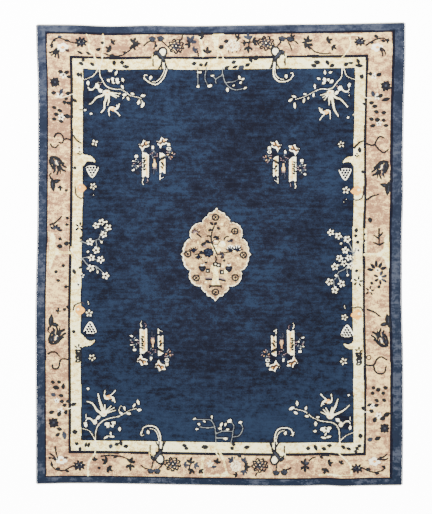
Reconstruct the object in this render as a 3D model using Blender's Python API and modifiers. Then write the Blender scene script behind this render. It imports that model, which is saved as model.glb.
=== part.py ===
"""A hand-knotted wool carpet in the Peking manner, lying flat.

Metres, +Z up. X runs across the carpet and Y along it, from the foot end to the
head end. The underside is at z = 0 and the middle of the carpet is at x = y = 0.
"""
import bisect
import random
from collections import namedtuple

import bpy

HALF_WIDTH = 1.370
HALF_LENGTH = 1.722
CARPET_THICKNESS = 0.010
RIM_ROUNDING = 0.0018
GAP = 0.0003
POINTS_ALONG_SIDE = 44
POINTS_ALONG_END = 34

CORD_RADIUS = 0.0045

WEB_THICKNESS = 0.002
WEB_WIDTH = 0.008
LOCKS_PER_END = 136
LOCK_ROOT_WIDTH = 0.0085
LOCK_TIP_WIDTH = 0.0052
LOCK_SHORTEST = 0.008
LOCK_LONGEST = 0.014
LOCK_LEAN = 0.0045

# How far each edge strays outwards from a straight line, at a share of the way
# along it: from foot to head on the sides, from left to right on the ends.
Sway = namedtuple("Sway", "along out")
LEFT_SWAY = (
    Sway(0.00, 0.002), Sway(0.14, 0.003), Sway(0.27, 0.005), Sway(0.36, 0.006),
    Sway(0.44, 0.002), Sway(0.53, -0.006), Sway(0.62, -0.010), Sway(0.75, -0.013),
    Sway(0.88, -0.011), Sway(0.95, -0.002), Sway(1.00, 0.001),
)
RIGHT_SWAY = (
    Sway(0.00, -0.004), Sway(0.14, 0.001), Sway(0.27, 0.000), Sway(0.40, -0.009),
    Sway(0.55, -0.007), Sway(0.62, 0.000), Sway(0.70, -0.001), Sway(0.83, 0.006),
    Sway(0.89, 0.013), Sway(0.95, 0.017), Sway(1.00, 0.016),
)
FOOT_SWAY = (
    Sway(0.00, -0.008), Sway(0.10, -0.013), Sway(0.27, -0.008), Sway(0.37, -0.003),
    Sway(0.60, 0.007), Sway(0.72, 0.008), Sway(0.79, 0.003), Sway(0.84, 0.010),
    Sway(0.89, 0.005), Sway(1.00, 0.001),
)
HEAD_SWAY = (
    Sway(0.00, 0.004), Sway(0.10, 0.002), Sway(0.20, -0.008), Sway(0.30, -0.002),
    Sway(0.43, -0.006), Sway(0.55, -0.001), Sway(0.66, 0.004), Sway(0.79, 0.008),
    Sway(0.89, 0.013), Sway(1.00, 0.020),
)

YARNS = {
    "pile_carpet": ((0.035, 0.060, 0.105), 0.95),
    "side_cord": ((0.090, 0.120, 0.165), 0.90),
    "end_web": ((0.720, 0.700, 0.640), 0.90),
}


def clear_scene():
    for item in list(bpy.data.objects):
        bpy.data.objects.remove(item, do_unlink=True)


def yarn_material(name):
    colour, roughness = YARNS[name]
    material = bpy.data.materials.new(name)
    material.use_nodes = True
    shader = material.node_tree.nodes["Principled BSDF"]
    shader.inputs["Base Color"].default_value = (*colour, 1.0)
    shader.inputs["Roughness"].default_value = roughness
    shader.inputs["Metallic"].default_value = 0.0
    return material


def sway_at(table, along):
    """The table's outward offset, on a smooth curve through its rows."""
    places = [row.along for row in table]
    here = min(max(bisect.bisect_right(places, along) - 1, 0), len(table) - 2)
    before = table[max(here - 1, 0)]
    start = table[here]
    end = table[here + 1]
    after = table[min(here + 2, len(table) - 1)]
    span = end.along - start.along
    t = (along - start.along) / span
    leave = (end.out - before.out) / (end.along - before.along) * span
    arrive = (after.out - start.out) / (after.along - start.along) * span
    return (
        (2 * t**3 - 3 * t**2 + 1) * start.out
        + (t**3 - 2 * t**2 + t) * leave
        + (3 * t**2 - 2 * t**3) * end.out
        + (t**3 - t**2) * arrive
    )


def lay(across, along):
    """Where a point of the straight plan lies on the uneven carpet (both 0 to 1)."""
    left = -HALF_WIDTH - sway_at(LEFT_SWAY, along)
    right = HALF_WIDTH + sway_at(RIGHT_SWAY, along)
    foot = -HALF_LENGTH - sway_at(FOOT_SWAY, across)
    head = HALF_LENGTH + sway_at(HEAD_SWAY, across)
    return left + (right - left) * across, foot + (head - foot) * along


def side_line(across):
    return [lay(across, i / POINTS_ALONG_SIDE) for i in range(POINTS_ALONG_SIDE + 1)]


def end_line(along):
    return [lay(i / POINTS_ALONG_END, along) for i in range(POINTS_ALONG_END + 1)]


def flat_solid(name, outline, thickness, material, collection):
    """A closed sheet of one thickness on the floor, cut to a flat outline."""
    curve = bpy.data.curves.new(name, "CURVE")
    curve.dimensions = "2D"
    curve.fill_mode = "BOTH"
    curve.extrude = thickness / 2
    spline = curve.splines.new("POLY")
    spline.points.add(len(outline) - 1)
    for point, (x, y) in zip(spline.points, outline):
        point.co = (x, y, 0.0, 1.0)
    spline.use_cyclic_u = True
    curve.materials.append(material)
    sheet = bpy.data.objects.new(name, curve)
    sheet.location.z = thickness / 2
    collection.objects.link(sheet)
    return sheet


def make_pile_carpet(collection):
    """Ground weave and pile as one slab, its upper and lower rims a little rounded."""
    outline = (
        end_line(0.0)[:-1]
        + side_line(1.0)[:-1]
        + end_line(1.0)[:0:-1]
        + side_line(0.0)[:0:-1]
    )
    carpet = flat_solid(
        "pile_carpet", outline, CARPET_THICKNESS, yarn_material("pile_carpet"), collection
    )
    weld = carpet.modifiers.new("close_rims", "WELD")
    weld.merge_threshold = 0.0001
    rim = carpet.modifiers.new("round_rims", "BEVEL")
    rim.width = RIM_ROUNDING
    rim.segments = 2
    rim.limit_method = "ANGLE"


def make_side_cord(name, across, outward, material, collection):
    """A round overcast cord along one side, lying on the floor beside the slab."""
    curve = bpy.data.curves.new(name, "CURVE")
    curve.dimensions = "3D"
    curve.bevel_depth = CORD_RADIUS
    curve.bevel_resolution = 2
    curve.use_fill_caps = True
    line = side_line(across)
    spline = curve.splines.new("POLY")
    spline.points.add(len(line) - 1)
    for point, (x, y) in zip(spline.points, line):
        point.co = (x + outward * (GAP + CORD_RADIUS), y, CORD_RADIUS, 1.0)
    curve.materials.append(material)
    collection.objects.link(bpy.data.objects.new(name, curve))


def lock_outline(root, reach, lean):
    """One warp lock's four corners about its root, in order along the web."""
    return (
        (root - LOCK_ROOT_WIDTH / 2, 0.0),
        (root + lean - LOCK_TIP_WIDTH / 2, reach),
        (root + lean + LOCK_TIP_WIDTH / 2, reach),
        (root + LOCK_ROOT_WIDTH / 2, 0.0),
    )


def make_end_web(name, along, outward, seed, material, collection):
    """A narrow cotton web along one end, with the cut warp locks that leave it."""
    draw = random.Random(seed)
    inner = [(x, y + outward * GAP) for x, y in end_line(along)]
    first, last = inner[0][0], inner[-1][0]
    pitch = (last - first) / LOCKS_PER_END
    outer = [(first, inner[0][1] + outward * WEB_WIDTH)]
    for i in range(LOCKS_PER_END):
        root = first + (i + 0.5) * pitch
        reach = draw.uniform(LOCK_SHORTEST, LOCK_LONGEST)
        lean = draw.uniform(-LOCK_LEAN, LOCK_LEAN)
        edge = lay((i + 0.5) / LOCKS_PER_END, along)[1] + outward * (GAP + WEB_WIDTH)
        for x, out in lock_outline(root, reach, lean):
            outer.append((x, edge + outward * out))
    outer.append((last, inner[-1][1] + outward * WEB_WIDTH))
    flat_solid(name, inner + outer[::-1], WEB_THICKNESS, material, collection)


def main():
    clear_scene()
    collection = bpy.data.collections.new("peking_carpet")
    bpy.context.scene.collection.children.link(collection)
    make_pile_carpet(collection)
    cord = yarn_material("side_cord")
    make_side_cord("side_cord_left", 0.0, -1, cord, collection)
    make_side_cord("side_cord_right", 1.0, 1, cord, collection)
    web = yarn_material("end_web")
    make_end_web("end_web_head", 1.0, 1, 11, web, collection)
    make_end_web("end_web_foot", 0.0, -1, 23, web, collection)


main()
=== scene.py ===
import math
import random
from contextlib import contextmanager

import bpy
import numpy as np
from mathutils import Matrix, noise
from mathutils.geometry import delaunay_2d_cdt


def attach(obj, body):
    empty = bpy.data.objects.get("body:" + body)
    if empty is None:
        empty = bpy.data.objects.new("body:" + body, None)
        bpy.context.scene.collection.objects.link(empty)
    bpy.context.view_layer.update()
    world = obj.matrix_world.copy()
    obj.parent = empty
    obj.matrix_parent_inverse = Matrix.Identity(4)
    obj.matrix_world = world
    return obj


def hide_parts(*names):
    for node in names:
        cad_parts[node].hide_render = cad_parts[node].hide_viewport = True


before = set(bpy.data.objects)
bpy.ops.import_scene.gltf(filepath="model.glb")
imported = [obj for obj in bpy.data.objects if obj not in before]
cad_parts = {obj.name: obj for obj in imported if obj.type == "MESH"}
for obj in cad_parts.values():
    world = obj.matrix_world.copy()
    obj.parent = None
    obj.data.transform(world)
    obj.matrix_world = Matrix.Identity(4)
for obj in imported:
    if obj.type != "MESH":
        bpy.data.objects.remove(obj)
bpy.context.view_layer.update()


# The plan of the carpet
# A hand-knotted carpet leaves the loom a little crooked: each edge strays by a
# centimetre or so from the straight line that the weaver meant, and the knots follow it.
HALF_WIDTH = 1.370
HALF_LENGTH = 1.722
LEFT_SWAY = {  # share of the way from foot to head: metres outwards
    0.00: 0.002, 0.14: 0.003, 0.27: 0.005, 0.36: 0.006, 0.44: 0.002, 0.53: -0.006,
    0.62: -0.010, 0.75: -0.013, 0.88: -0.011, 0.95: -0.002, 1.00: 0.001,
}
RIGHT_SWAY = {
    0.00: -0.004, 0.14: 0.001, 0.27: 0.000, 0.40: -0.009, 0.55: -0.007, 0.62: 0.000,
    0.70: -0.001, 0.83: 0.006, 0.89: 0.013, 0.95: 0.017, 1.00: 0.016,
}
FOOT_SWAY = {  # share of the way from left to right: metres outwards
    0.00: -0.008, 0.10: -0.013, 0.27: -0.008, 0.37: -0.003, 0.60: 0.007, 0.72: 0.008,
    0.79: 0.003, 0.84: 0.010, 0.89: 0.005, 1.00: 0.001,
}
HEAD_SWAY = {
    0.00: 0.004, 0.10: 0.002, 0.20: -0.008, 0.30: -0.002, 0.43: -0.006, 0.55: -0.001,
    0.66: 0.004, 0.79: 0.008, 0.89: 0.013, 1.00: 0.020,
}
EDGE_STEPS = 880
edge_places = np.linspace(0, 1, EDGE_STEPS + 1)


def edge_curve(sway):
    """The outward stray at each of the edge's places, on a smooth curve through the table."""
    at = np.array(list(sway))
    out = np.array(list(sway.values()))
    slope = np.empty_like(out)
    slope[1:-1] = (out[2:] - out[:-2]) / (at[2:] - at[:-2])
    slope[0] = (out[1] - out[0]) / (at[1] - at[0])
    slope[-1] = (out[-1] - out[-2]) / (at[-1] - at[-2])
    k = np.clip(np.searchsorted(at, edge_places, side="right") - 1, 0, len(at) - 2)
    span = at[k + 1] - at[k]
    t = (edge_places - at[k]) / span
    return (
        (2 * t**3 - 3 * t**2 + 1) * out[k]
        + (t**3 - 2 * t**2 + t) * slope[k] * span
        + (3 * t**2 - 2 * t**3) * out[k + 1]
        + (t**3 - t**2) * slope[k + 1] * span
    )


left_edge = -HALF_WIDTH - edge_curve(LEFT_SWAY)
right_edge = HALF_WIDTH + edge_curve(RIGHT_SWAY)
foot_edge = -HALF_LENGTH - edge_curve(FOOT_SWAY)
head_edge = HALF_LENGTH + edge_curve(HEAD_SWAY)


def lay(across, along):
    """Where a point of the straight plan, each way from 0 to 1, lies on the crooked carpet."""
    left = np.interp(along, edge_places, left_edge)
    right = np.interp(along, edge_places, right_edge)
    foot = np.interp(across, edge_places, foot_edge)
    head = np.interp(across, edge_places, head_edge)
    return left + (right - left) * across, foot + (head - foot) * along


# The knots
# The pile is tied knot by knot, about eighty to the foot, in rows that the weaver
# reads off a cartoon ruled in squares of two knots by two. The chart holds each
# knot's yarn. All the drawing below is in squares, from the middle of the carpet.
KNOTS_ACROSS = 730
KNOTS_ALONG = 918
SQUARE = 0.0075
DRAWN_RIGHT = 0.3  # the drawing sits this many squares right of the plan's middle
LEAF_TIP = 0.12  # half the width, in squares, that a leaf keeps at its tips
PETAL_TIP = 0.1
HAND_SEED = 1907  # for the weaver's small free choices, the same on each run

YARNS = (
    "indigo", "band", "stripe", "rose", "ivory", "sand", "cream", "white",
    "navy", "slate", "apricot", "mauve", "brown", "deep", "olive", "ash",
)
(INDIGO, BAND, STRIPE, ROSE, IVORY, SAND, CREAM, WHITE,
 NAVY, SLATE, APRICOT, MAUVE, BROWN, DEEP, OLIVE, ASH) = range(len(YARNS))

chart = np.full((KNOTS_ALONG, KNOTS_ACROSS), INDIGO, dtype=np.int8)
place = np.eye(3)
draw = random.Random(HAND_SEED)


def to_knots(x, y):
    """The knot, as a row's place and a column's, at a point given in squares."""
    x = (np.asarray(x) + DRAWN_RIGHT) * SQUARE
    y = np.asarray(y) * SQUARE
    along = (y + HALF_LENGTH) / (2 * HALF_LENGTH)
    left = np.interp(along, edge_places, left_edge)
    right = np.interp(along, edge_places, right_edge)
    across = (x - left) / (right - left)
    foot = np.interp(across, edge_places, foot_edge)
    head = np.interp(across, edge_places, head_edge)
    along = (y - foot) / (head - foot)
    return across * KNOTS_ACROSS - 0.5, along * KNOTS_ALONG - 0.5


@contextmanager
def moved(x, y, turn=0.0, flip=False, upside_down=False):
    """Draws a motif at a place, turned by degrees, and mirrored if asked."""
    global place
    kept = place
    c = math.cos(math.radians(turn))
    s = math.sin(math.radians(turn))
    fx = -1 if flip else 1
    fy = -1 if upside_down else 1
    place = kept @ np.array([[c * fx, -s * fy, x], [s * fx, c * fy, y], [0, 0, 1]])
    yield
    place = kept


def facing(x, y, turn=0.0):
    """A motif's place: it is mirrored in the right half, and upside down in the foot half."""
    return moved(x, y, turn, flip=x > 0, upside_down=y < 0)


@contextmanager
def outlined(yarn=DEEP, rows=2):
    """Ties rows of knots in another yarn round what is drawn inside, the darkest only on the field."""
    global chart
    under = chart
    chart = np.full_like(under, -1)
    yield
    drawn = chart >= 0
    grown = drawn.copy()
    for row in range(rows):
        ring = grown.copy()
        ring[1:] |= grown[:-1]
        ring[:-1] |= grown[1:]
        ring[:, 1:] |= grown[:, :-1]
        ring[:, :-1] |= grown[:, 1:]
        grown = ring
    under[grown & ~drawn & ((under == INDIGO) | (yarn != DEEP))] = yarn
    under[drawn] = chart[drawn]
    chart = under


def window(x, y, reach):
    """The knots round a point of the motif, and where each lies from that point."""
    sx, sy, _ = place @ (x, y, 1)
    column, row = to_knots(sx, sy)
    linear = place[:2, :2]
    span = 2 * reach + 1
    columns = np.arange(max(0, int(column - span)), min(KNOTS_ACROSS, int(column + span) + 2))
    rows = np.arange(max(0, int(row - span)), min(KNOTS_ALONG, int(row + span) + 2))
    dx, dy = np.meshgrid((columns - column) / 2, (rows - row) / 2)
    back = np.linalg.inv(linear)
    part = chart[rows[0]:rows[-1] + 1, columns[0]:columns[-1] + 1]
    return part, back[0, 0] * dx + back[0, 1] * dy, back[1, 0] * dx + back[1, 1] * dy


def turned(u, v, turn):
    """A point seen from axes that are turned by degrees."""
    c, s = math.cos(math.radians(turn)), math.sin(math.radians(turn))
    return u * c + v * s, v * c - u * s


def spot(yarn, x, y, wide, tall=None, turn=0):
    """An oval, wide by tall."""
    tall = tall or wide
    part, u, v = window(x, y, max(wide, tall) / 2)
    a, b = turned(u, v, turn)
    part[(2 * a / wide) ** 2 + (2 * b / tall) ** 2 <= 1] = yarn


def leaf(yarn, x, y, long, wide, turn=0):
    """A leaf pointed at both ends, about its middle."""
    part, u, v = window(x, y, long / 2)
    a, b = turned(u, v, turn)
    part[(np.abs(a) <= long / 2) & (np.abs(b) <= wide / 2 * (1 - (2 * a / long) ** 2) + LEAF_TIP)] = yarn


def petal(yarn, x, y, long, wide, turn=0):
    """A petal that leaves a point and is widest near its round tip."""
    part, u, v = window(x, y, long)
    a, b = turned(u, v, turn)
    t = np.clip(a / long, 0, 1)
    part[(a >= 0) & (a <= long) & (np.abs(b) <= wide / 2 * np.sin(np.pi * t**1.5) + PETAL_TIP)] = yarn


def smooth(points, closed=False, step=0.35):
    """Points close together on a smooth curve through the few that are given."""
    points = [np.array(p, dtype=float) for p in points]
    if closed:
        chain = [points[-1], *points, points[0], points[1]]
    else:
        chain = [2 * points[0] - points[1], *points, 2 * points[-1] - points[-2]]
    line = []
    for before, start, end, after in zip(chain, chain[1:], chain[2:], chain[3:]):
        count = max(2, math.ceil(np.linalg.norm(end - start) / step))
        t = np.linspace(0, 1, count, endpoint=False)[:, None]
        line.append(0.5 * (
            2 * start + (end - before) * t
            + (2 * before - 5 * start + 4 * end - after) * t**2
            + (3 * start - before - 3 * end + after) * t**3
        ))
    if not closed:
        line.append(points[-1][None])
    return np.concatenate(line)


def stem(yarn, points, wide, tip=None):
    """A line drawn smoothly through points, which may narrow towards its end."""
    line = smooth(points)
    radius = np.linspace(wide, wide if tip is None else tip, len(line))
    on_carpet = np.column_stack([line, np.ones(len(line))]) @ place.T
    column, row = to_knots(on_carpet[:, 0], on_carpet[:, 1])
    reach = math.ceil(radius.max())
    for dj in range(-reach, reach + 1):
        for di in range(-reach, reach + 1):
            i = np.rint(column).astype(int) + di
            j = np.rint(row).astype(int) + dj
            near = (i - column) ** 2 + (j - row) ** 2 <= radius**2
            if di == 0 and dj == 0:
                near[:] = True
            near &= (i >= 0) & (i < KNOTS_ACROSS) & (j >= 0) & (j < KNOTS_ALONG)
            chart[j[near], i[near]] = yarn


def shape(yarn, points, round_off=False):
    """Fills a closed outline, drawn straight or smoothly through its points."""
    points = smooth(points, closed=True, step=0.6) if round_off else np.array(points, dtype=float)
    low, high = points.min(axis=0), points.max(axis=0)
    middle = (low + high) / 2
    part, u, v = window(*middle, np.linalg.norm(high - low) / 2)
    u, v = u + middle[0], v + middle[1]
    inside = np.zeros(u.shape, dtype=bool)
    for (x0, y0), (x1, y1) in zip(points, np.roll(points, -1, axis=0)):
        if y0 != y1:
            crossed = (y0 > v) != (y1 > v)
            inside ^= crossed & (u < (x1 - x0) * (v - y0) / (y1 - y0) + x0)
    part[inside] = yarn


def ring(count, wide, tall, first):
    """Even places round an oval: how far across and along each lies, and its turn."""
    for k in range(count):
        turn = first + 360 / count * k
        yield wide * math.cos(math.radians(turn)), tall * math.sin(math.radians(turn)), turn


def blossom(x, y, across, petals, yarn, heart, turn, heart_share=0.26):
    """A small open flower."""
    for k in range(petals):
        petal(yarn, x, y, across / 2, across * 1.25 / petals, turn + 360 * k / petals)
    spot(heart, x, y, across * heart_share)


# The bands
# From the edge inwards: a plain dark band, the wide rose-tan border, a dark stripe,
# the ivory guard, and the indigo field. Each side was tied to its own widths.
BAND_WIDTHS = {  # squares: band, border, stripe, guard
    "left": (9.6, 22.4, 2.4, 10.3),
    "right": (11.9, 24.0, 2.3, 10.5),
    "head": (8.5, 21.9, 2.4, 10.6),
    "foot": (7.5, 22.6, 2.4, 10.5),
}
BAND_LINE = {"left": 1.7, "right": 2.2, "head": 1.8, "foot": 1.6}  # dark, round the border
FIELD_LINE = 0.6  # dark, round the field
WAVER = 0.10  # how far a band's edge wanders, in squares, on a long wave and a short one
LONG_WAVE = 17
SHORT_WAVE = 6.3

column_place = (np.arange(KNOTS_ACROSS) + 0.5) / 2
row_place = (np.arange(KNOTS_ALONG) + 0.5)[:, None] / 2


def waver(place_along, seed):
    return WAVER * (np.sin(place_along / LONG_WAVE + seed) + np.sin(place_along / SHORT_WAVE + 2.1 * seed))


def inside_of(depths, seed):
    """The knots that lie further in than a depth on each side."""
    return (
        (column_place > depths["left"] + waver(row_place, seed))
        & (column_place < KNOTS_ACROSS / 2 - depths["right"] + waver(row_place, seed + 1))
        & (row_place > depths["foot"] + waver(column_place, seed + 2))
        & (row_place < KNOTS_ALONG / 2 - depths["head"] + waver(column_place, seed + 3))
    )


depth = dict.fromkeys(BAND_WIDTHS, 0.0)
chart[:] = BAND
for layer, yarn in enumerate((ROSE, STRIPE, IVORY, INDIGO)):
    for side, widths in BAND_WIDTHS.items():
        depth[side] += widths[layer]
    if yarn == ROSE:
        line = {side: depth[side] - BAND_LINE[side] for side in depth}
        chart[inside_of(line, layer)] = DEEP
    chart[inside_of(depth, layer)] = yarn
line = {side: depth[side] + FIELD_LINE for side in depth}
chart[inside_of(depth, layer) & ~inside_of(line, layer)] = DEEP


# The centre medallion
# A lozenge with a scalloped edge in sand-coloured wool, rimmed in cream and drawn
# round in the darkest blue, with a vase, bowls, a flowering tree and plain roundels.
MEDALLION_MIDDLE = (-4, 0.7)
SCALLOPS = (  # a quarter of the edge from the head tip to the side tip, and each arc's bulge
    (0, 47.4, 0), (4.6, 42.6, -0.6), (9.4, 38.6, 1.1), (14.2, 32, 1.3), (25, 26.6, 1.9), (25.6, 16.2, 1.3),
    (32.2, 8.4, 1.7), (33.2, 3, 0.6), (35.9, 0, -0.5),
)
HALF_ACROSS = 36
HALF_ALONG = 47
SMALL_SCALLOP = 4.4  # the length of one small scallop, and how deep it is and how far set in
SCALLOP_DEPTH = 0.55
SCALLOP_INSET = 0.3
SCALLOP_POINTS = 6


def scalloped_quarter(shrink):
    """Points along a quarter of the medallion's edge."""
    line = []
    for (x0, y0, _), (x1, y1, bulge) in zip(SCALLOPS, SCALLOPS[1:]):
        length = math.hypot(x1 - x0, y1 - y0)
        out = ((y0 - y1) / length, (x1 - x0) / length)
        small = max(1, round(length / SMALL_SCALLOP))
        for k in range(SCALLOP_POINTS * small):
            t = k / (SCALLOP_POINTS * small)
            scallop = SCALLOP_DEPTH * abs(math.sin(math.pi * small * t)) - SCALLOP_INSET
            b = bulge * 4 * t * (1 - t) + scallop
            line.append((x0 + (x1 - x0) * t + out[0] * b, y0 + (y1 - y0) * t + out[1] * b))
    line.append(SCALLOPS[-1][:2])
    return [(x * (1 - shrink / HALF_ACROSS), y * (1 - shrink / HALF_ALONG)) for x, y in line]


def medallion_outline(shrink=0):
    quarter = scalloped_quarter(shrink)
    right = quarter + [(x, -y) for x, y in quarter[-2::-1]]
    return right + [(-x, y) for x, y in right[-2:0:-1]]


def roundel(x, y, upright=False):
    """A plain ring with a small cross inside."""
    spot(OLIVE, x, y, 7.4, 7)
    spot(SAND, x, y, 4.9, 4.5)
    for turn in (0, 90) if upright else (45, -45):
        leaf(OLIVE, x, y, 3.2, 0.9, turn)


def leaf_fan(yarn, x, y, across, turn, leaves, spread, wide=0.21):
    """Pointed leaves set apart round one point."""
    for k in range(leaves):
        angle = turn + (k - (leaves - 1) / 2) * spread
        reach = across * (0.46 if k % 2 else 0.52)
        leaf(yarn, x + reach * math.cos(math.radians(angle)), y + reach * math.sin(math.radians(angle)),
             across * 0.54, across * wide, angle)


def bowl(x, y):
    """A round navy bowl with a white lip."""
    shape(NAVY, [(x - 3.2, y + 1.6), (x + 3.2, y + 1.6), (x + 3, y - 1.2), (x + 1.2, y - 3.6),
            (x - 1.2, y - 3.6), (x - 3, y - 1.2)], True)
    spot(SLATE, x - 0.6, y - 0.6, 2.4, 1.2)
    spot(WHITE, x, y + 3, 3.6, 2.4)
    spot(BROWN, x, y + 4, 2, 1)


with moved(*MEDALLION_MIDDLE):
    with outlined():
        shape(CREAM, medallion_outline())
    shape(SAND, medallion_outline(1.5))
    for x, y, size in ((-8, 24, 5), (6, 30, 6), (15, 20, 5), (-18, 12, 6), (22, -4, 6), (-24, -12, 5),
            (-10, -28, 5), (12, -32, 5), (2, 17, 7), (18, 3, 6), (-14, -4, 5), (7, -12, 6)):
        spot(IVORY, x, y, size * 0.5, size * 0.34, draw.uniform(0, 180))
    # a cream glow behind the tree, and the tree's stem
    for x, y, wide, tall in ((-2, 9, 6, 5), (6, 10, 7, 5), (0, 4, 10, 5), (-1, -14, 9, 9), (10, -17, 6, 4)):
        spot(IVORY, x, y, wide, tall, draw.uniform(-20, 20))
    stem(OLIVE, [(-1.5, 28.5), (-3.5, 23.7), (-4.6, 18), (-4.2, 12.5), (-2, 7.5), (1.4, -0.4)], 1.2)
    stem(OLIVE, [(-4.4, 16), (-7, 19), (-8.5, 18)], 1)
    stem(OLIVE, [(-3.4, 11), (-8, 12.6), (-12, 11.5)], 1)
    for yarn, x, y, long, wide, turn in (
        (NAVY, -4.2, 30.8, 4.2, 2.4, -40), (NAVY, -0.2, 31, 4.2, 2.4, 40), (OLIVE, -6, 24.5, 3.6, 1.9, 30),
        (OLIVE, 2.8, 26, 4, 2.2, -20), (NAVY, -8.2, 12.8, 5, 2.7, -30), (OLIVE, -12.6, 10.2, 5.6, 3, 20),
        (MAUVE, -11, 8.6, 3.8, 2.2, -30), (OLIVE, -0.6, 17.4, 4.8, 2.2, 15), (NAVY, 1.8, 16.2, 4.2, 3, 70),
    ):
        leaf(yarn, x, y, long, wide, turn)
    with outlined(BROWN, rows=1):
        spot(ROSE, 0, 12.4, 6, 4.4)
        spot(CREAM, -0.8, 13.2, 3, 2.2)
    spot(CREAM, 6.4, 11.4, 4.4, 3.6)
    stem(OLIVE, [(8.4, 14.6), (9.6, 17.4), (12.8, 17.8)], 1.1)
    leaf_fan(SLATE, 14.2, 11.4, 5, 90, 3, 45)
    leaf(NAVY, 15.4, 14, 3.6, 2.2, 40)
    # the two large blue peonies and the leaves beside them
    for dx, dy, _ in ring(8, 3.9, 3.1, 10):
        spot(DEEP, -7.4 + dx, 1.9 + dy, 3.4, 3)
    spot(INDIGO, -7.4, 1.9, 8.6, 6.6)
    for x, y in ((-9.4, 3.4), (-6.2, 3.8), (-5.2, 0.9), (-8.2, -0.2), (-7.2, 2.2)):
        spot(BAND, x, y, 1.7, 1.1, draw.uniform(0, 180))
    leaf_fan(BROWN, 5, -0.8, 5.2, 10, 5, 42)
    leaf_fan(NAVY, 7.6, -0.9, 4.6, 190, 4, 50)
    spot(BAND, 6.8, -0.8, 1.6)
    stem(OLIVE, [(2, -0.4), (8, 1.6), (12, 2.2), (16, 3)], 1)
    spot(WHITE, 14.4, 6, 7.4, 6.4)
    spot(WHITE, 21, 6.2, 7, 6)
    for x, y, reach, first, apart in ((14.6, 3.2, 4.8, 28, 31), (21.2, 3.2, 5.8, 18, 31),
            (-22.2, 2.4, 5, 42, 27), (-17.2, -0.8, 4, 216, 27)):
        for turn in range(first, first + 5 * apart, apart):
            u, v = turned(reach, 0, -turn)
            stem(DEEP, [(x, y), (x + u, y + v)], 1.2, 0.8)
    stem(OLIVE, [(-20.5, 0), (-17, 0.6), (-12, 1.2)], 1)
    leaf(NAVY, -14.8, 2.6, 3.8, 1.9, 20)
    # bowls, knots, vase and bars
    bowl(-13.6, -13.4)
    bowl(13, -13.6)
    for x, y, wide in ((-0.4, -9.6, 2.2), (2.8, -10.6, 2.2), (6.2, -17.6, 2), (-8, -16.2, 2)):
        for yarn, half in ((OLIVE, wide), (CREAM, wide - 1.2)):
            shape(yarn, [(x - half, y - half), (x + half, y - half), (x + half, y + half),
                    (x - half, y + half)])
    stem(OLIVE, [(-0.2, -2), (0.4, -5), (0, -7)], 1.3)
    leaf(OLIVE, 8.4, -6, 3, 1.9, 60)
    leaf(OLIVE, -9.8, -8, 3, 1.6, 20)
    shape(IVORY, [(-2.4, -17), (1.6, -17), (2.2, -20), (2.6, -26), (4, -30.4), (-4.6, -30.4), (-3.4, -26),
            (-3, -20)])
    for yarn, points, wide in (
        (OLIVE, [(-6, -31.2), (5.4, -31.2)], 1.5), (OLIVE, [(-5.4, -31), (-6.2, -33.2)], 1.1),
        (OLIVE, [(4.8, -31), (5.4, -33)], 1.1), (MAUVE, [(-10.4, -23.7), (-4.6, -23.7)], 1.3),
        (OLIVE, [(-9.8, -24.9), (-4.4, -24.9)], 1.5), (MAUVE, [(3.2, -23.8), (9, -25.2)], 1.3),
        (OLIVE, [(3.4, -24.9), (9.4, -26.4)], 1.5),
    ):
        stem(yarn, points, wide)
    # roundels near the rim
    for x, y in ((-0.3, 37.2), (-28, 0.6), (27.6, -0.4), (-0.3, -37.6), (-19.6, -23.4)):
        roundel(x, y)
    for x, y in ((19.4, -23), (19, 23.2)):
        roundel(x, y, upright=True)
    leaf_fan(BROWN, -20.4, 21, 6.6, 96, 5, 34, 0.2)
    leaf_fan(MAUVE, -20.4, 21, 4.2, 96, 4, 44, 0.3)
    stem(OLIVE, [(-18.8, 20.6), (-16.6, 18.8), (-14.8, 17.2)], 1.5, 1.2)


# The field corners
# From each corner of the border a branch grows into the field, with a finger citron,
# an orchid, a blossom, a butterfly and a trailing twig of leaves, all in undyed wool.
def leaves(yarn, *rows):
    """Leaves by their middles and their sizes across and along, each leaning its own way."""
    for x, y, wide, tall in rows:
        lean = draw.uniform(-32, 32) + (90 if tall > wide else 0)
        fullness = 0.9 if yarn == CREAM else 1.15
        leaf(yarn, x, y, max(wide, tall) + 1, min(wide, tall) * fullness, lean)


def open_petals(rows, first=0):
    """Petals in white and cream by turns: each one's place, size and turn."""
    for k, row in enumerate(rows, first):
        petal((WHITE, CREAM)[k % 2], *row)


def orchid(x, y):
    """A sideways orchid: a round lip, a back petal and a forked tail."""
    with facing(x, y):
        spot(CREAM, 1.6, 0.6, 4.6, 5.4)
        petal(WHITE, 1.5, -1.2, 7, 3.6, -38)
        stem(CREAM, [(0, 0.2), (-3, -2.6), (-5.8, -3)], 1.8)
        stem(WHITE, [(-5.8, -3), (-7.6, -0.6)], 1.3)
        petal(WHITE, -7.2, 0.2, 6, 3.2, 96)
        spot(NAVY, -5.4, 1.6, 1.3, 1.8)
        stem(WHITE, [(-7.4, -3.4), (-7.5, -7.2)], 0.9)
        spot(MAUVE, 4.6, 2.6, 2.2, 1.6)


def butterfly(x, y, turn=0):
    with facing(x, y, turn):
        spot(APRICOT, -0.6, 0.4, 6.4, 4.4)
        stem(CREAM, [(-1.5, 2.2), (-4.4, 1.4), (-4.9, -2.6), (-4.4, -6.4)], 2, 1.2)
        stem(CREAM, [(1.4, 0.2), (4, 1.6), (5.4, 5.4)], 2.6, 1.4)
        stem(CREAM, [(2.6, 1.4), (3.6, 3.2), (2.8, 4)], 1.2)
        stem(WHITE, [(1, -1.6), (3.4, -3.4), (6, -6.4)], 1.3)
        spot(SAND, 0.6, 0.8, 2.2, 1.4)


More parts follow.
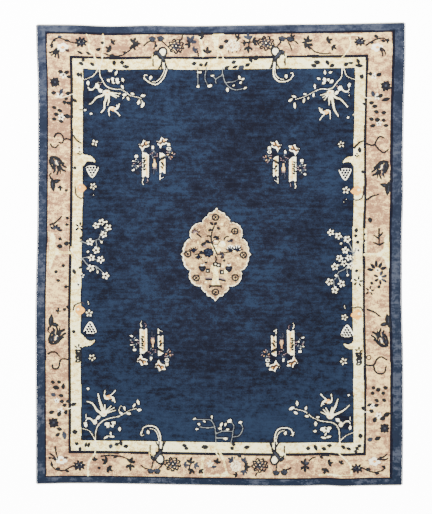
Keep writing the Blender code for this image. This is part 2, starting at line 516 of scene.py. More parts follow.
def citron(palm, fingers, fan):
    """A finger citron: a round palm, long fingers and a fan of short ones."""
    spot(CREAM, palm[0], palm[1], 7.4, 5.6)
    for wide, tip, *points in fingers:
        stem(CREAM, [palm, *points], wide, tip)
    for x, y in fan:
        stem(CREAM, [palm, ((palm[0] + x) / 2, (palm[1] + y) / 2), (x, y)], 2, 1.2)
    towards = 1 if fan[0][0] > palm[0] else -1
    spot(APRICOT, palm[0] + 0.8 * towards, palm[1] - 0.4, 2.4, 1.6)


# the upper left corner
with outlined():
    stem(CREAM, [(-125.5, 198.5), (-123, 191), (-121, 186.8)], 1.14)
    stem(CREAM, [(-117.2, 198.6), (-118.8, 192), (-120.6, 187)], 1.33)
with outlined():
    stem(CREAM, [(-121.4, 187.6), (-122.7, 184.6), (-125.6, 180.5), (-129, 178.2), (-134.7, 175.9),
            (-137.4, 176.6)], 1.2, 0.9)
    stem(CREAM, [(-120.4, 188), (-119.8, 179.9), (-117.5, 175.3), (-114.7, 170.1), (-110.6, 167.3),
            (-103.7, 165.8), (-99.1, 165.6), (-94.6, 163.3), (-90, 159.8), (-85.4, 158.7), (-79.6, 157.2)],
            1.35, 0.9)
    stem(CREAM, [(-117.6, 173.2), (-121, 172.6), (-124.5, 171.6)], 0.76)
    stem(CREAM, [(-79, 156.6), (-77.6, 154), (-77.4, 152)], 0.76)
    leaves(CREAM, (-76.8, 159.6, 4.6, 3), (-81.1, 152.9, 3.4, 5), (-77, 150, 3.4, 5.6),
           (-87.4, 161.4, 3.4, 2.2), (-91.7, 156.6, 2.4, 4), (-97.4, 168.2, 2.4, 4.6),
           (-95.4, 160.4, 3.6, 3.4), (-96.4, 157.4, 1.6, 2.6), (-97.1, 175.3, 3, 4),
           (-103.7, 182.2, 2.8, 4.8))
    open_petals([(-109.6, 172.6, 5, 3, 130), (-107.4, 172.8, 5.6, 3.2, 88), (-104.4, 173, 5.4, 3.6, 55),
            (-104.6, 172.4, 4.6, 3.4, 8)], 1)
    spot(CREAM, -106, 173, 4.4, 3.2)
    orchid(-124.2, 168.4)
    citron((-113.4, 162.9), [(2.8, 1.3, (-117.5, 159.8), (-123.3, 157.5), (-127.9, 152.4), (-130.4, 151)),
            (3.6, 1.4, (-113.5, 157), (-115.2, 152.4), (-115.6, 146.6), (-118.9, 142.6)),
            (3.4, 1.2, (-111.2, 159.8), (-111, 154.1), (-112.1, 149.9))],
            [(-103.2, 157.4), (-101, 158.8), (-99.6, 161.6)])
    butterfly(-106, 145.8)
    spot(WHITE, -134.8, 145.2, 2.8, 2.6)
    spot(WHITE, -128.7, 141.6, 3.2, 2.4)
spot(NAVY, -105, 173.6, 2, 2.6)
spot(NAVY, -107.6, 170.8, 3, 1.2)
stem(BROWN, [(-140, 145.4), (-137.4, 145.4)], 0.76)
for x, wide in ((-113.6, 3.4), (-105.4, 4.2)):
    spot(INDIGO, x, 184.8, wide, 2.6)
spot(CREAM, -109.6, 184.6, 4.6, 2.6)

# the upper right corner
with outlined():
    stem(CREAM, [(124, 187.6), (124.7, 184.5), (127, 179.3), (131, 177), (136, 175.4)], 1.2, 0.9)
    stem(CREAM, [(122.4, 188), (122.2, 181.8), (121.2, 177.6), (116.7, 172.4), (113.2, 167.9),
            (108.6, 166.1), (100.6, 166.1), (93.7, 163.3), (86.2, 159.2), (81.6, 157.5), (75.3, 155.8)],
            1.35, 0.9)
    leaves(CREAM, (70.7, 155.2, 4.6, 2.8), (74.2, 158.7, 4, 2.8), (75, 149.6, 3, 5.6), (85, 161.2, 3, 2.2),
           (84.2, 154.6, 2.6, 4.6), (95.1, 168.6, 2.4, 4.6), (93.7, 160, 2.8, 3.4), (98.9, 176.5, 3.4, 2.6),
           (105.2, 182.6, 2.4, 4.4), (88.6, 157, 2, 2.6))
    spot(CREAM, 110.6, 182.8, 3.6, 2.6)
    open_petals([(106, 172, 6.2, 3.4, 110), (107.4, 171.6, 5.8, 3.2, 76), (109.2, 171.4, 6, 3.6, 42),
            (106, 171.4, 4.2, 3, 160)])
    orchid(121.8, 166.4)
    citron((110.6, 162.8), [(2.8, 1.3, (115.5, 158), (120.7, 155.8), (124.1, 152.4), (127.8, 148.2)),
            (3.6, 1.4, (112.8, 154.1), (114.6, 145.5), (118.6, 139.1)),
            (3.4, 1.2, (109.6, 155.2), (109.3, 150.2))], [(103, 157.8), (100.8, 160), (104.6, 155.4)])
    butterfly(105.4, 142.4, turn=6)
    spot(WHITE, 128.1, 137.7, 2.6, 2.4)
    stem(CREAM, [(138, 141.6), (134.8, 141.4), (133.4, 140.2)], 1.14)
spot(NAVY, 107.6, 173.4, 1.8, 2.6)

# the lower left corner
with outlined():
    stem(CREAM, [(-125, -188), (-125, -184.2), (-130.5, -176), (-137, -173.4)], 1.2, 0.9)
    stem(CREAM, [(-124.4, -188), (-123.6, -174.6), (-118.1, -166.3), (-109.8, -162.9), (-100.2, -160.8),
            (-90.5, -155.3), (-83.6, -153.2)], 1.35, 0.9)
    stem(CREAM, [(-98.6, -160), (-100.6, -155.4), (-99.4, -151), (-97.4, -151.6)], 0.95)
    leaves(CREAM, (-81.6, -147.2, 2.8, 5), (-85.7, -150.3, 2.6, 4), (-80.7, -154.8, 4.2, 3),
           (-95.3, -153.2, 2.6, 4), (-91.2, -158.4, 4, 3), (-98.8, -158, 3.6, 2.8),
           (-100.2, -173.9, 3.4, 4), (-134.6, -167.9, 3.2, 2.6))
    open_petals([(-110, -166.6, 6.4, 3.6, 215), (-110.4, -167, 6.4, 3.4, 250),
            (-108.6, -166.4, 6.2, 3.6, 285), (-108, -166, 4.6, 3.2, 325)])
    leaves(CREAM, (-113.6, -182, 5.4, 2.4), (-108, -181.4, 5, 2.4), (-109, -178.4, 2, 3.6))
    orchid(-126.4, -166.2)
    citron((-116.4, -158.6), [(3.6, 1.4, (-118.6, -150.6), (-120.4, -145), (-121.7, -138.6)),
            (2.8, 1.3, (-122.4, -155.6), (-127.2, -148.6), (-132.6, -146.2)),
            (3.4, 1.2, (-115.3, -154), (-115.1, -149.2))],
            [(-105.8, -152.4), (-104.2, -155), (-108.8, -150.8)])
    butterfly(-110.4, -141.6)
    spot(WHITE, -131.8, -133.5, 2.8, 2.6)
spot(NAVY, -108.8, -168.8, 2, 2.4)

# the lower right corner
with outlined():
    stem(CREAM, [(119.8, -188), (121, -185), (126.9, -180), (133.5, -177.4)], 1.2, 0.9)
    stem(CREAM, [(119.6, -188), (119.8, -182.2), (118.6, -173.2), (113, -167.7), (100.7, -165.6),
            (92.4, -162.2), (85.5, -156.7), (78.6, -154.6), (73.1, -153.2)], 1.35, 0.9)
    leaves(CREAM, (77.3, -148.4, 2.8, 5), (71.8, -153.2, 5.4, 3.4), (75.9, -157.6, 4, 2.8),
           (86.2, -153, 2.6, 4), (86.9, -161, 3.6, 3), (95.9, -168.6, 3.4, 4), (98, -162, 3, 2.6),
           (95.2, -176, 3, 2.8))
    open_petals([(105.6, -171.4, 6.6, 3.4, 215), (105.8, -171.6, 6.2, 3.4, 252),
            (106.8, -171.4, 6.4, 3.6, 290), (107.2, -171, 5.4, 3.2, 328)])
    leaves(CREAM, (103.8, -182.6, 5, 2.4), (109, -181.6, 5.2, 2.4), (106, -178.8, 2, 3.4))
    orchid(122.8, -168.8)
    citron((110.4, -161.2), [(3.6, 1.4, (113.8, -154.5), (116, -150.5), (118.1, -144)),
            (2.8, 1.3, (118.6, -158), (125.5, -153.9), (129.2, -150.2)),
            (3.4, 1.2, (111.2, -156.8), (112.4, -151.8))], [(103.4, -154.4), (101.2, -157), (106, -152.6)])
    butterfly(107, -145.4)
    spot(WHITE, 128.9, -140, 2.6, 2.4)
spot(NAVY, 106.4, -173.6, 2, 2.4)


# The sprigs at the middle of the ends
# Two bare twigs with buds hang into the field from the head end and rise from the foot.
with outlined():
    for points in (
        [(-22.3, 187), (-22, 178), (-21.7, 169.5)], [(-13.4, 188), (-14.8, 176.5), (-12, 170.3)],
        [(2.9, 187), (2.4, 181), (-1, 178.2), (-4.6, 176.6), (-6.2, 178)],
        [(-3, 177), (-4.4, 174.6), (-3.8, 172)], [(2.9, 181), (5.6, 172.4), (11.2, 166.8), (16.7, 165.5),
                (24, 166.8)], [(6, 172.6), (13.9, 173.7), (18.7, 175.8)],
    ):
        stem(ASH, points, 1.3, 1)
    leaves(CREAM, (-20.2, 182.9, 4.4, 2.4), (-10, 169.3, 4.8, 3.2), (19.6, 177.6, 2.8, 3.8),
           (23, 176.2, 3.4, 2.4), (20.8, 172.6, 2.4, 2.4), (13.9, 169.6, 2.2, 2), (7.7, 165.4, 3.2, 3.8),
           (25.4, 167.2, 3.4, 2.2), (-7.4, 179.4, 3, 2.2))
    spot(CREAM, -21.7, 168.6, 3.2, 3)
    for points in (
        [(-4, -188), (-4, -180), (-5.1, -171.8), (-7.9, -166.3), (-12, -164.3), (-24, -164.3)],
        [(-5.1, -171.8), (-12, -172.6), (-20, -171.8)],
        [(11, -188), (12.5, -181.5), (13.2, -176), (13.9, -170.5), (11, -166.6)],
        [(13.2, -181.8), (19.4, -180.1), (22.9, -173.2), (20.8, -168.4)],
        [(-4, -178.7), (2.9, -176), (12.6, -176)], [(-4, -182.8), (8, -182.8)],
        [(1.6, -176.2), (1.6, -171.6)], [(-8.2, -166), (-8, -162.6)],
    ):
        stem(ASH, points, 1.3, 1)
    leaves(CREAM, (-21, -168.8, 3, 2.4), (-7.9, -161.9, 2.4, 2.8), (-15.5, -166.2, 2.2, 1.8),
           (-23, -173.9, 2.6, 2.2), (-25.4, -163.6, 3, 2), (9.8, -165.8, 4.8, 4), (20.4, -167.2, 3.2, 3.2),
           (5.6, -183.8, 4, 2.2), (1.5, -169.4, 2.8, 4.8), (5.6, -169.4, 2.6, 2.8), (0, -173.4, 3.6, 2.4),
           (7.7, -174.2, 2.8, 2.4))


# The flowering plum branches
# At the middle of each side a plum branch reaches out of the guard into the field.
def plum(x, y, across, turn):
    """A plum blossom: five round petals about a dark heart."""
    for k, (dx, dy, lean) in enumerate(ring(5, across * 0.33, across * 0.33, turn)):
        spot(WHITE if k % 2 else CREAM, x + dx, y + dy, across * 0.42, across * 0.34, lean)
    spot(BROWN, x, y, across * 0.24)


PLUM_BRANCHES = (
    [(-139, 14), (-133, 12), (-129.8, 13.1), (-124.5, 15), (-121.5, 16.2), (-119.6, 20), (-118.1, 24.8)],
    [(-124, 15.2), (-123.2, 9.8), (-123.6, 5)], [(-121.4, 16.2), (-118.4, 13.4)],
    [(-118.4, 22), (-112.6, 26)], [(-139, -4), (-134.6, -2.2), (-128.4, -2.7), (-123.4, -4.6),
            (-119.2, -4.5)], [(-137, -4), (-132.6, -9.4), (-129.1, -12.9), (-125, -11), (-121.2, -13.4),
                    (-118.1, -15.9), (-114.2, -20.5)], [(-124, -11.4), (-122.6, -15.8)],
                    [(136, 6), (133.7, 1.4), (131.4, 7.4), (128.6, 12.6), (123.6, 17.4), (118.6, 19.3),
                     (111, 22.7)], [(133, 3), (128.6, 4.6), (125.5, 4.8)],
                     [(134, 0), (128.9, -2.6), (124.4, -2.4), (119.7, -3)],
                     [(133, -4), (130.3, -10.8), (127, -11.6), (124.1, -14.3), (118.6, -17), (117.2, -21.2),
                      (113.1, -26)], [(124.1, -8.1), (115.1, -11.5)], [(127, -12), (127.8, -20)],
                      [(117.6, -20), (121.6, -28.5)], [(113.6, -25), (115.1, -34.9)],
)
PLUM_BLOSSOMS = (
    (-118.1, 33.1, 6.8), (-123.6, 29.6, 6.4), (-111.9, 27.6, 7.2), (-116, 20.7, 6.8), (-129.8, 13.1, 7.4),
    (-123.6, 5, 7.2), (-128.4, -2.7, 7), (-119.2, -4.5, 7.4), (-129.1, -12.9, 7.4), (-114.2, -20.5, 7.4),
    (111, 22.7, 6.8), (118.6, 19.3, 7), (127.5, 15.9, 7.2), (125.5, 4.8, 7), (119.7, -3, 6.8),
    (128.9, -2.6, 6.4), (124.1, -8.1, 6.4), (115.1, -11.5, 7.4), (130.3, -10.8, 6.6), (109.6, -26.7, 7.2),
    (121.6, -28.5, 7.2), (115.1, -34.9, 7.2),
)
PLUM_BUDS = ((-118.3, 13.1), (-131.8, 3.5), (-122.2, -17), (-113.4, 33.4), (116.1, -20.2), (127.8, -20),
        (121.2, 11.6), (132.4, -25.3))
with outlined():
    for points in PLUM_BRANCHES:
        # a slate stroke under each ash branch, a little wider near its start, shows along the branch's sides
        # as painted shade
        stem(SLATE, points, 1.5, 1)
        stem(ASH, points, 1.4, 1.05)
    for x, y in PLUM_BUDS:
        spot(CREAM, x, y, 2.6, 2.6)
    for x, y, across in PLUM_BLOSSOMS:
        plum(x, y, across, draw.uniform(0, 72))


# The lotus, peach and flower groups
# Above and below each plum branch the guard swells into a shell under a lotus pod, with a
# peach on a bent stem and a white flower beside it.
def lotus_pod(x, y):
    """A seed pod, broad above and pointed below, full of dark seeds in white cells."""
    with moved(x, y, upside_down=y < 0):
        shape(WHITE, [(-6.2, 3.4), (-5, -1.4), (-1.4, -6.6), (1.4, -6.8), (5, -1.4), (6.4, 3.6), (2, 5),
                (-2.4, 5)], True)
        for row, count in enumerate((4, 3, 2, 1)):
            for k in range(count):
                spot(DEEP, (k - (count - 1) / 2) * 2.9, 3 - 2.5 * row, 2.1, 1.8, 25)


def shell(x, y, wide, tall):
    """An ivory wave that leaves the guard and curls over the pod."""
    with facing(x, y):
        shape(IVORY, [(-wide * 0.75, -tall * 0.9), (-wide * 0.75, tall * 0.9), (-wide * 0.3, tall * 0.62),
                (wide * 0.14, tall * 0.52), (wide * 0.44, tall * 0.2), (wide * 0.56, -tall * 0.2),
                (wide * 0.2, -tall * 0.1), (-wide * 0.12, -tall * 0.2), (-wide * 0.34, -tall * 0.6)], True)


def peach(x, y, wide, tall):
    with moved(x, y, flip=x > 0):
        shape(APRICOT, [(0, -tall / 2), (wide * 0.4, -tall * 0.3), (wide * 0.7, 0),
                (wide * 0.34, tall * 0.34), (-wide * 0.1, tall / 2), (-wide * 0.44, tall * 0.26),
                (-wide / 2, -tall * 0.12), (-wide * 0.26, -tall * 0.4)], True)
        # a cream spot high on the peach, a painted highlight
        spot(CREAM, -wide * 0.2, tall * 0.1, wide * 0.3, tall * 0.26)


def tangle(x, y, wide, tall):
    """A blossom drawn only in olive outlines."""
    for k in range(5):
        with moved(x, y + tall * (0.36 - 0.18 * k), turn=25 * (-1) ** k):
            stem(OLIVE, smooth([(-wide * 0.36, 0), (0, tall * 0.13), (wide * 0.36, 0), (0, -tall * 0.11)],
                    True), 1.2)
            spot(CREAM, 0, 0, wide * 0.3, tall * 0.1)


with outlined():
    for x, y, wide, tall, pod_x, pod_y in (
        (-131.5, 95, 12.5, 9, -127.6, 84.6), (129.6, 94, 12, 8.4, 125.3, 82),
        (-131.4, -86.2, 12, 8, -129.8, -73.6), (130, -89.6, 11, 7.4, 127.2, -76.8),
    ):
        shell(x, y, wide, tall)
        lotus_pod(pod_x, pod_y)
    for x, y, wide, petals in (
        (-125, 112.3, 7, 4), (-126.6, 68.9, 7.4, 5), (-130.7, -58.1, 7.8, 5), (-127.7, -102.4, 7.6, 5),
        (121.3, 110.9, 7.2, 5), (126.2, 65, 8, 5), (124.8, -62.1, 7.4, 5), (123.8, -106.3, 8, 5),
    ):
        blossom(x, y, wide, petals, CREAM, BROWN, draw.uniform(0, 90))
    for points, wide in (
        ([(-129.2, 60.6), (-127.2, 61.2), (-126, 59.4), (-127.4, 57.8)], 0.6),
        ([(127.6, 55.4), (125, 56), (123.6, 53.8), (125.2, 51.8)], 0.6),
        ([(-131.8, -46), (-130.8, -50)], 0.9), ([(124.4, -49.6), (125.2, -53.4)], 0.9),
    ):
        stem(CREAM, points, wide)
for left, right, y in ((-132.4, -126.2, 91.4), (122.6, 130.7, 89), (-134.9, -127.1, -80.9),
        (123.7, 131.4, -84.2)):
    stem(DEEP, [(left, y), (right, y)], 2.4)
for points, x, y, wide, tall in (
    ([(-144.6, 68.5), (-143.4, 60), (-138.5, 57), (-135.6, 58.8)], -138.6, 66.8, 7.6, 9.6),
    ([(-146.6, -55), (-145, -50), (-138.7, -47.4), (-136, -49)], -140.4, -55.2, 8.4, 10.6),
    ([(144.2, 68.5), (142.6, 58), (136.6, 55), (133, 57.2)], 136.8, 64.1, 9, 10),
    ([(133.7, -52.5), (140.6, -52.3), (144.2, -58.4)], 137.2, -59.8, 9.4, 10.6),
):
    stem(BROWN, points, 1.1, 0.8)
    peach(x, y, wide, tall)
tangle(-141.5, -101, 8, 12)
tangle(139.3, -103.8, 8, 12)
blossom(-140.8, 107.5, 6, 4, CREAM, BROWN, 45)


# The four birds
# Beside the middle of each end a long-tailed bird perches on the guard, its two tail
# plumes curling down into the field and ending in round eyes.
def bird(x, y, tail, inner_tail, eyes):
    """The tail's points, the inner plume's and the eyes are given from the bird's body."""
    with facing(x, y):
        with outlined():
            stem(CREAM, [(1.4, -6), *tail], 1.9, 1.3)
            stem(CREAM, [(0.2, -6), *inner_tail], 1.3, 1)
            hook, drop = eyes
            stem(CREAM, [tail[-1], (hook[0] - 1.6, hook[1] - 0.6), (hook[0] - 0.8, hook[1] + 2.4),
                    (hook[0] + 1.6, hook[1] + 1.8)], 1.7, 0.9)
            petal(CREAM, drop[0] - 0.6, drop[1] - 2.2, 5.6, 3.2, 76)
        for side in (-1, 1):
            stem(OLIVE, [(side * 1.5 + 1.6, -7), (side * 1.9 + 1.9, -11), (side * 2 + 2.4, -16.4)], 1.5,
                 1.2)
            stem(OLIVE, [(side * 1.9 + 1.9, -11), (side * 4.6 + 1.6, -15.8)], 1.4, 1)
        shape(IVORY, [(-9.6, -1.6), (-4.4, -2.2), (-3.2, -7.4), (-6, -10.6), (-9.8, -9)], True)
        spot(OLIVE, 0.9, 0.9, 9.6, 11.4, -20)
        spot(CREAM, 0.9, 0.9, 6.6, 8.4, -20)
        stem(OLIVE, [(-5, 0.8), (-2.4, -2.2), (2.2, -7.6)], 4.4, 3.4)
        stem(SLATE, [(-3.8, -0.2), (-1, -3), (1.4, -6)], 2, 1.2)
        spot(OLIVE, -6.2, -0.2, 4.6, 4.4)
        spot(SLATE, -6.4, 0.6, 1.8, 1.4)
        spot(CREAM, -5.2, -1.4, 1.2, 1)
        stem(OLIVE, [(-7.6, -1), (-8.4, -3.4)], 1.2, 0.8)
        stem(BROWN, [(-8.6, -6), (-8.6, -12.6)], 1.1)


bird(-58.2, 202, [(2.8, -9), (4.9, -15.9), (1.4, -25.5), (-4.8, -31), (-11.7, -29.6), (-17.2, -25.5)],
     [(1.4, -9), (2.9, -15.9), (-0.8, -24), (-5.4, -28.2), (-9.2, -28.6)], ((-15.8, -24.1), (-11.2, -25.5)))
bird(56.6, 202.7, [(2.1, -11.1), (2.8, -22.1), (-1.4, -28.3), (-8.3, -29), (-13.2, -27.2), (-16.5, -23.1)],
     [(0.9, -11.1), (1.2, -20.6), (-2.4, -25.8), (-7.4, -26.8)], ((-15.2, -22.7), (-9.9, -24.8)))
bird(-60.9, -202.8, [(0.7, -11.7), (1.4, -21.3), (-2.1, -29.6), (-9, -32.3), (-15.2, -30.3),
        (-17.2, -25.5)], [(-0.6, -11.7), (-0.4, -20.6), (-3.6, -27.4), (-9, -29.6)],
        ((-16.5, -24.8), (-11, -26.8)))
bird(55.9, -203.5, [(0.7, -12.4), (0.7, -22), (-2.1, -28.9), (-9, -31), (-15.2, -28.9), (-17.2, -23.5)],
     [(-0.6, -12.4), (-1, -21), (-3.8, -26.6), (-8.6, -28.4)], ((-16.3, -25.5), (-9.9, -26.5)))


# The border at the two ends
# On the rose-tan ground: peonies large and small, sprays of dark leaves on fine brown
# vines, and a pale blossom with dark tendrils in each corner.
def peony(x, y, wide, tall, line, fill):
    """A full peony seen from above: rings of petals that curl, each drawn only in line."""
    with moved(x, y):
        for dx, dy, _ in ring(6, wide * 0.2, tall * 0.2, 25):
            spot(fill, dx, dy, wide * 0.15, tall * 0.13)
        for count, reach, bulge, heavy in ((9, 0.38, 0.09, 1.35), (6, 0.27, 0.06, 1.1), (4, 0.09, 0.06, 1)):
            for k in range(count):
                angle = 2 * math.pi * (k + 0.3 * count) / count
                half = 0.66 * math.pi / count
                curl = [(angle - half, reach - 0.02), (angle - half * 0.3, reach + bulge),
                        (angle + half, reach + bulge * 0.4)]
                stem(line, [(wide * r * math.cos(a), tall * r * math.sin(a)) for a, r in curl], heavy,
                     heavy * 0.7)
        spot(WHITE, 0, 0.2, wide * 0.1, tall * 0.09)


def small_peony(x, y, wide, tall):
    """A side view: dark petals round a slate heart, with a few pale flecks."""
    with moved(x, y):
        for dx, dy, turn in ring(8, wide * 0.36, tall * 0.36, 12):
            spot(OLIVE, dx, dy, wide * 0.3, tall * 0.22, turn - 12)
        spot(NAVY, 0, 0, wide * 0.62, tall * 0.62)
        for dx, dy, turn in ring(5, wide * 0.18, tall * 0.18, 40):
            spot(SLATE, dx, dy, wide * 0.18, tall * 0.14, turn - 40)
        spot(CREAM, -wide * 0.14, 0.4, wide * 0.12, tall * 0.14)
        spot(CREAM, wide * 0.2, 0.8, wide * 0.1, tall * 0.12)


def clump(x, y, wide, tall):
    """A round tuft of slate petals, drawn round in the darkest yarn."""
    for dx, dy in ((-0.28, 0.1), (0, 0.22), (0.28, 0.06), (0.1, -0.26), (-0.16, -0.24)):
        spot(OLIVE, x + dx * wide, y + dy * tall, wide * 0.44, tall * 0.46)
    for dx, dy in ((-0.26, 0.08), (0.04, 0.2), (0.28, 0), (0, -0.2)):
        spot(SLATE, x + dx * wide, y + dy * tall, wide * 0.32, tall * 0.34)


def corner_blossom(x, y, wide, tall):
    """A large pale open flower that almost melts into its ground."""
    with moved(x, y, upside_down=y < 0):
        for dx, dy, _ in ring(6, wide * 0.29, tall * 0.29, 20):
            spot(WHITE, dx, dy, wide * 0.34, tall * 0.32)
        spot(APRICOT, 0, 0.3, wide * 0.24, tall * 0.2)
        for k in range(4):
            stem(BROWN, [(wide * (0.22 + 0.07 * k), -tall * 0.2), (wide * (0.26 + 0.07 * k), -tall * 0.34)],
                 0.8)


def lobed_leaf(yarn, x, y, size, turn):
    """A leaf of three pointed lobes."""
    for spread, share in ((-48, 0.82), (0, 1), (48, 0.82)):
        petal(yarn, x - size * 0.4 * math.cos(math.radians(turn)),
              y - size * 0.4 * math.sin(math.radians(turn)), size * share * 1.04, size * 0.34,
              turn + spread)


# the pale trunk and branches come first, under everything else
for points, wide in (
    ([(-133.5, 220.5), (-130.5, 214), (-131.2, 206), (-126.4, 200.5), (-123.5, 196)], 2),
    ([(-117, 221), (-116, 213), (-117.4, 205), (-118.4, 198)], 1.7),
    ([(116, 220.2), (129, 219.6), (141.5, 219.4)], 1.7),
    ([(133.7, 220.5), (130, 218.8), (130.4, 209.5), (125.5, 201.3), (121.4, 197.5)], 1.9),
    ([(113.5, -220.6), (123, -220.4), (132.5, -220.4)], 1.7),
    ([(131.8, -219.8), (130.6, -212), (128.2, -207.6), (120, -199.4), (117.2, -194.2)], 2.1),
    ([(-131.8, -220.2), (-131.8, -210.4), (-129.1, -203.5), (-125, -198), (-124.2, -190)], 2.1),
    ([(100, -220.4), (110, -219.4), (116, -220.4)], 2.4),
    ([(0.6, -194), (0.4, -198), (4, -207), (6.2, -216), (6.4, -221)], 2.6),
    ([(-3.6, -194), (-3.4, -198), (-1, -202)], 1.8), ([(-17.2, -203), (-18, -211), (-16.6, -220)], 3),
    ([(-3.2, 208), (-2, 200.6), (-3.6, 193)], 2), ([(-3, 207), (0.8, 202.6), (3.4, 197), (3.6, 190)], 2),
    ([(-19.6, 219), (-19, 211), (-17.2, 205), (-16.6, 199)], 3.4),
):
    stem(IVORY, points, wide, wide * 0.6)
shape(IVORY, [(-7.4, 221), (5, 221), (-0.6, 217.4), (-1.8, 211), (-2.4, 206), (-4.6, 206), (-6.4, 212)],
      True)
shape(IVORY, [(-11, -221.4), (16, -221.6), (11, -219.4), (5.4, -217.2), (1, -219.2), (-5, -219.8)], True)
spot(IVORY, -13.8, 212, 3.4, 6.4, 20)
blossom(-9.8, -209, 7.6, 5, CREAM, IVORY, 20)
leaf(SLATE, -5.8, -211.6, 5.4, 2.2, 10)

for points in (
    # head end, left to right
    [(-169, 209.6), (-166.6, 214.6), (-163, 217), (-159.4, 217.1), (-151.1, 213.7), (-144.6, 212.3)],
    [(-115.3, 201.4), (-108.4, 199.6), (-103, 199.2), (-97.4, 200.2), (-93.3, 202.7), (-89.1, 205.8),
     (-86.6, 210.6)], [(-76, 209.4), (-73.2, 212.2), (-69.4, 214.4)],
     [(-64.4, 213.4), (-64.8, 209), (-65.9, 206.2)], [(-58.4, 214.4), (-55.6, 211.8), (-52.9, 209.2)],
     [(-37.6, 220.6), (-37.8, 216.8), (-40.2, 214.4)], [(-31.6, 211.4), (-27, 214.6)],
     [(-21.4, 199.4), (-22.2, 204.2)], [(78, 211.6), (74.4, 214.4), (70.4, 215.2)],
     [(61, 213), (58, 209.8), (55.6, 207.6)], [(69, 212.2), (70.6, 208.8), (71.9, 205.2)],
     [(90.6, 207.4), (94, 204.2), (97.9, 202.6), (104, 201.6), (110.6, 202)],
     [(146.4, 210), (151.2, 213.4), (155.8, 215.7), (161.4, 217), (165.4, 216.2), (168.2, 212)],
     [(30.6, 217), (29.4, 212), (28.8, 208)], [(24.6, 212.6), (34.6, 213.4)], [(19, 216.4), (16, 213.6)],
    # foot end, left to right
    [(-168.4, -206.6), (-167.2, -211.6), (-163.4, -214.6), (-156.6, -215.2), (-151.2, -213),
     (-147, -210.6)], [(-118.6, -201), (-109.8, -200), (-101.5, -200.8), (-95.4, -202.4), (-90.5, -205.4)],
     [(-78.4, -210.6), (-75.2, -212.8), (-71.6, -213.8)], [(-66.9, -207.2), (-67.2, -210), (-68.4, -212.6)],
     [(-55.8, -207.2), (-58.6, -210.8), (-61.2, -213.6)], [(35.9, -220.2), (37.4, -217.2)],
     [(70.8, -212.8), (67, -214.4), (62.8, -214.2)], [(57, -209.8), (56.4, -214.6)],
     [(89.2, -205.6), (92, -203.2), (95.4, -202)], [(100.4, -200.9), (106, -200.2), (110.6, -200.9)],
     [(143, -212.8), (148.6, -215.8), (154.4, -216.9), (160.8, -215.9), (165.8, -212.8)],
     [(-31, -214.6), (-29, -208)], [(24.6, -206), (26, -211.4), (24.6, -215.6)],
):
    stem(OLIVE, points, 1.25, 0.95)

for x, y, wide, tall in ((-43.7, 208.9, 16.8, 15.4), (46.3, 212, 17.6, 15), (-47.1, -209, 17.2, 14.6),
        (40.1, -210.2, 17.4, 15)):
    peony(x, y, wide, tall, OLIVE, SLATE)
for x, y, wide, tall in ((12.5, 209.6, 15.4, 12), (15.8, -211, 10.4, 11.4)):
    peony(x, y, wide, tall, CREAM, ROSE)
for x, y in ((8.4, 203), (12.2, 202), (16.2, 202.4), (20, 204), (11.6, -204.6), (14.6, -203.6)):
    stem(BROWN, [(x, y), (x + 0.6, y + 1.8)], 0.35)
for x, y, wide, tall in (
    (-67.6, 216, 7.2, 6.2), (-59.2, 216.6, 7, 6.2), (62.4, 216.6, 8, 5.6), (70.2, 216.2, 7.4, 6),
    (-69, -215.8, 7.2, 5.6), (-62.6, -215.9, 7, 6), (56.4, -217.6, 7.4, 5.6), (64.4, -217.2, 7.4, 5.8),
):
    clump(x, y, wide, tall)
for x, y, wide, tall in ((-138.9, 213, 12.6, 10), (140, 213.7, 11.4, 8.8), (-140.8, -210.4, 12.6, 9.8),
        (137.2, -213.4, 12, 9)):
    small_peony(x, y, wide, tall)
for x, y, tall in ((-157.3, 207.6, 10.6), (157.2, 207.6, 9.4), (-158.7, -205, 9.4), (154.6, -206.4, 9.8)):
    corner_blossom(x, y, 13.6, tall)
for points in (
    [(-170, 202.6), (-166, 204.2), (-163.2, 207.4)], [(-168.4, 200.2), (-165, 202.6), (-162.7, 206.4)],
    [(-161, 197.4), (-161.7, 201.4), (-160.4, 205.4)], [(-164.8, 198.4), (-163.8, 201.4), (-161.8, 204.6)],
    [(161, 207.4), (164.4, 205.2), (165.8, 200.6)], [(160.2, 206), (162.4, 203.4), (162.8, 199)],
    [(-164.6, -191.8), (-163.6, -197.6), (-161.9, -203.7)],
    [(-169.4, -198.8), (-166.4, -200.8), (-163.3, -204.3)],
    [(-170.6, -202.8), (-167.2, -203), (-164.4, -205.6)], [(160.6, -202.3), (164, -201.6), (167.2, -198.8)],
    [(160, -203.9), (164.6, -204.6), (168.2, -203)],
):
    stem(OLIVE, points, 1.7, 0.8)

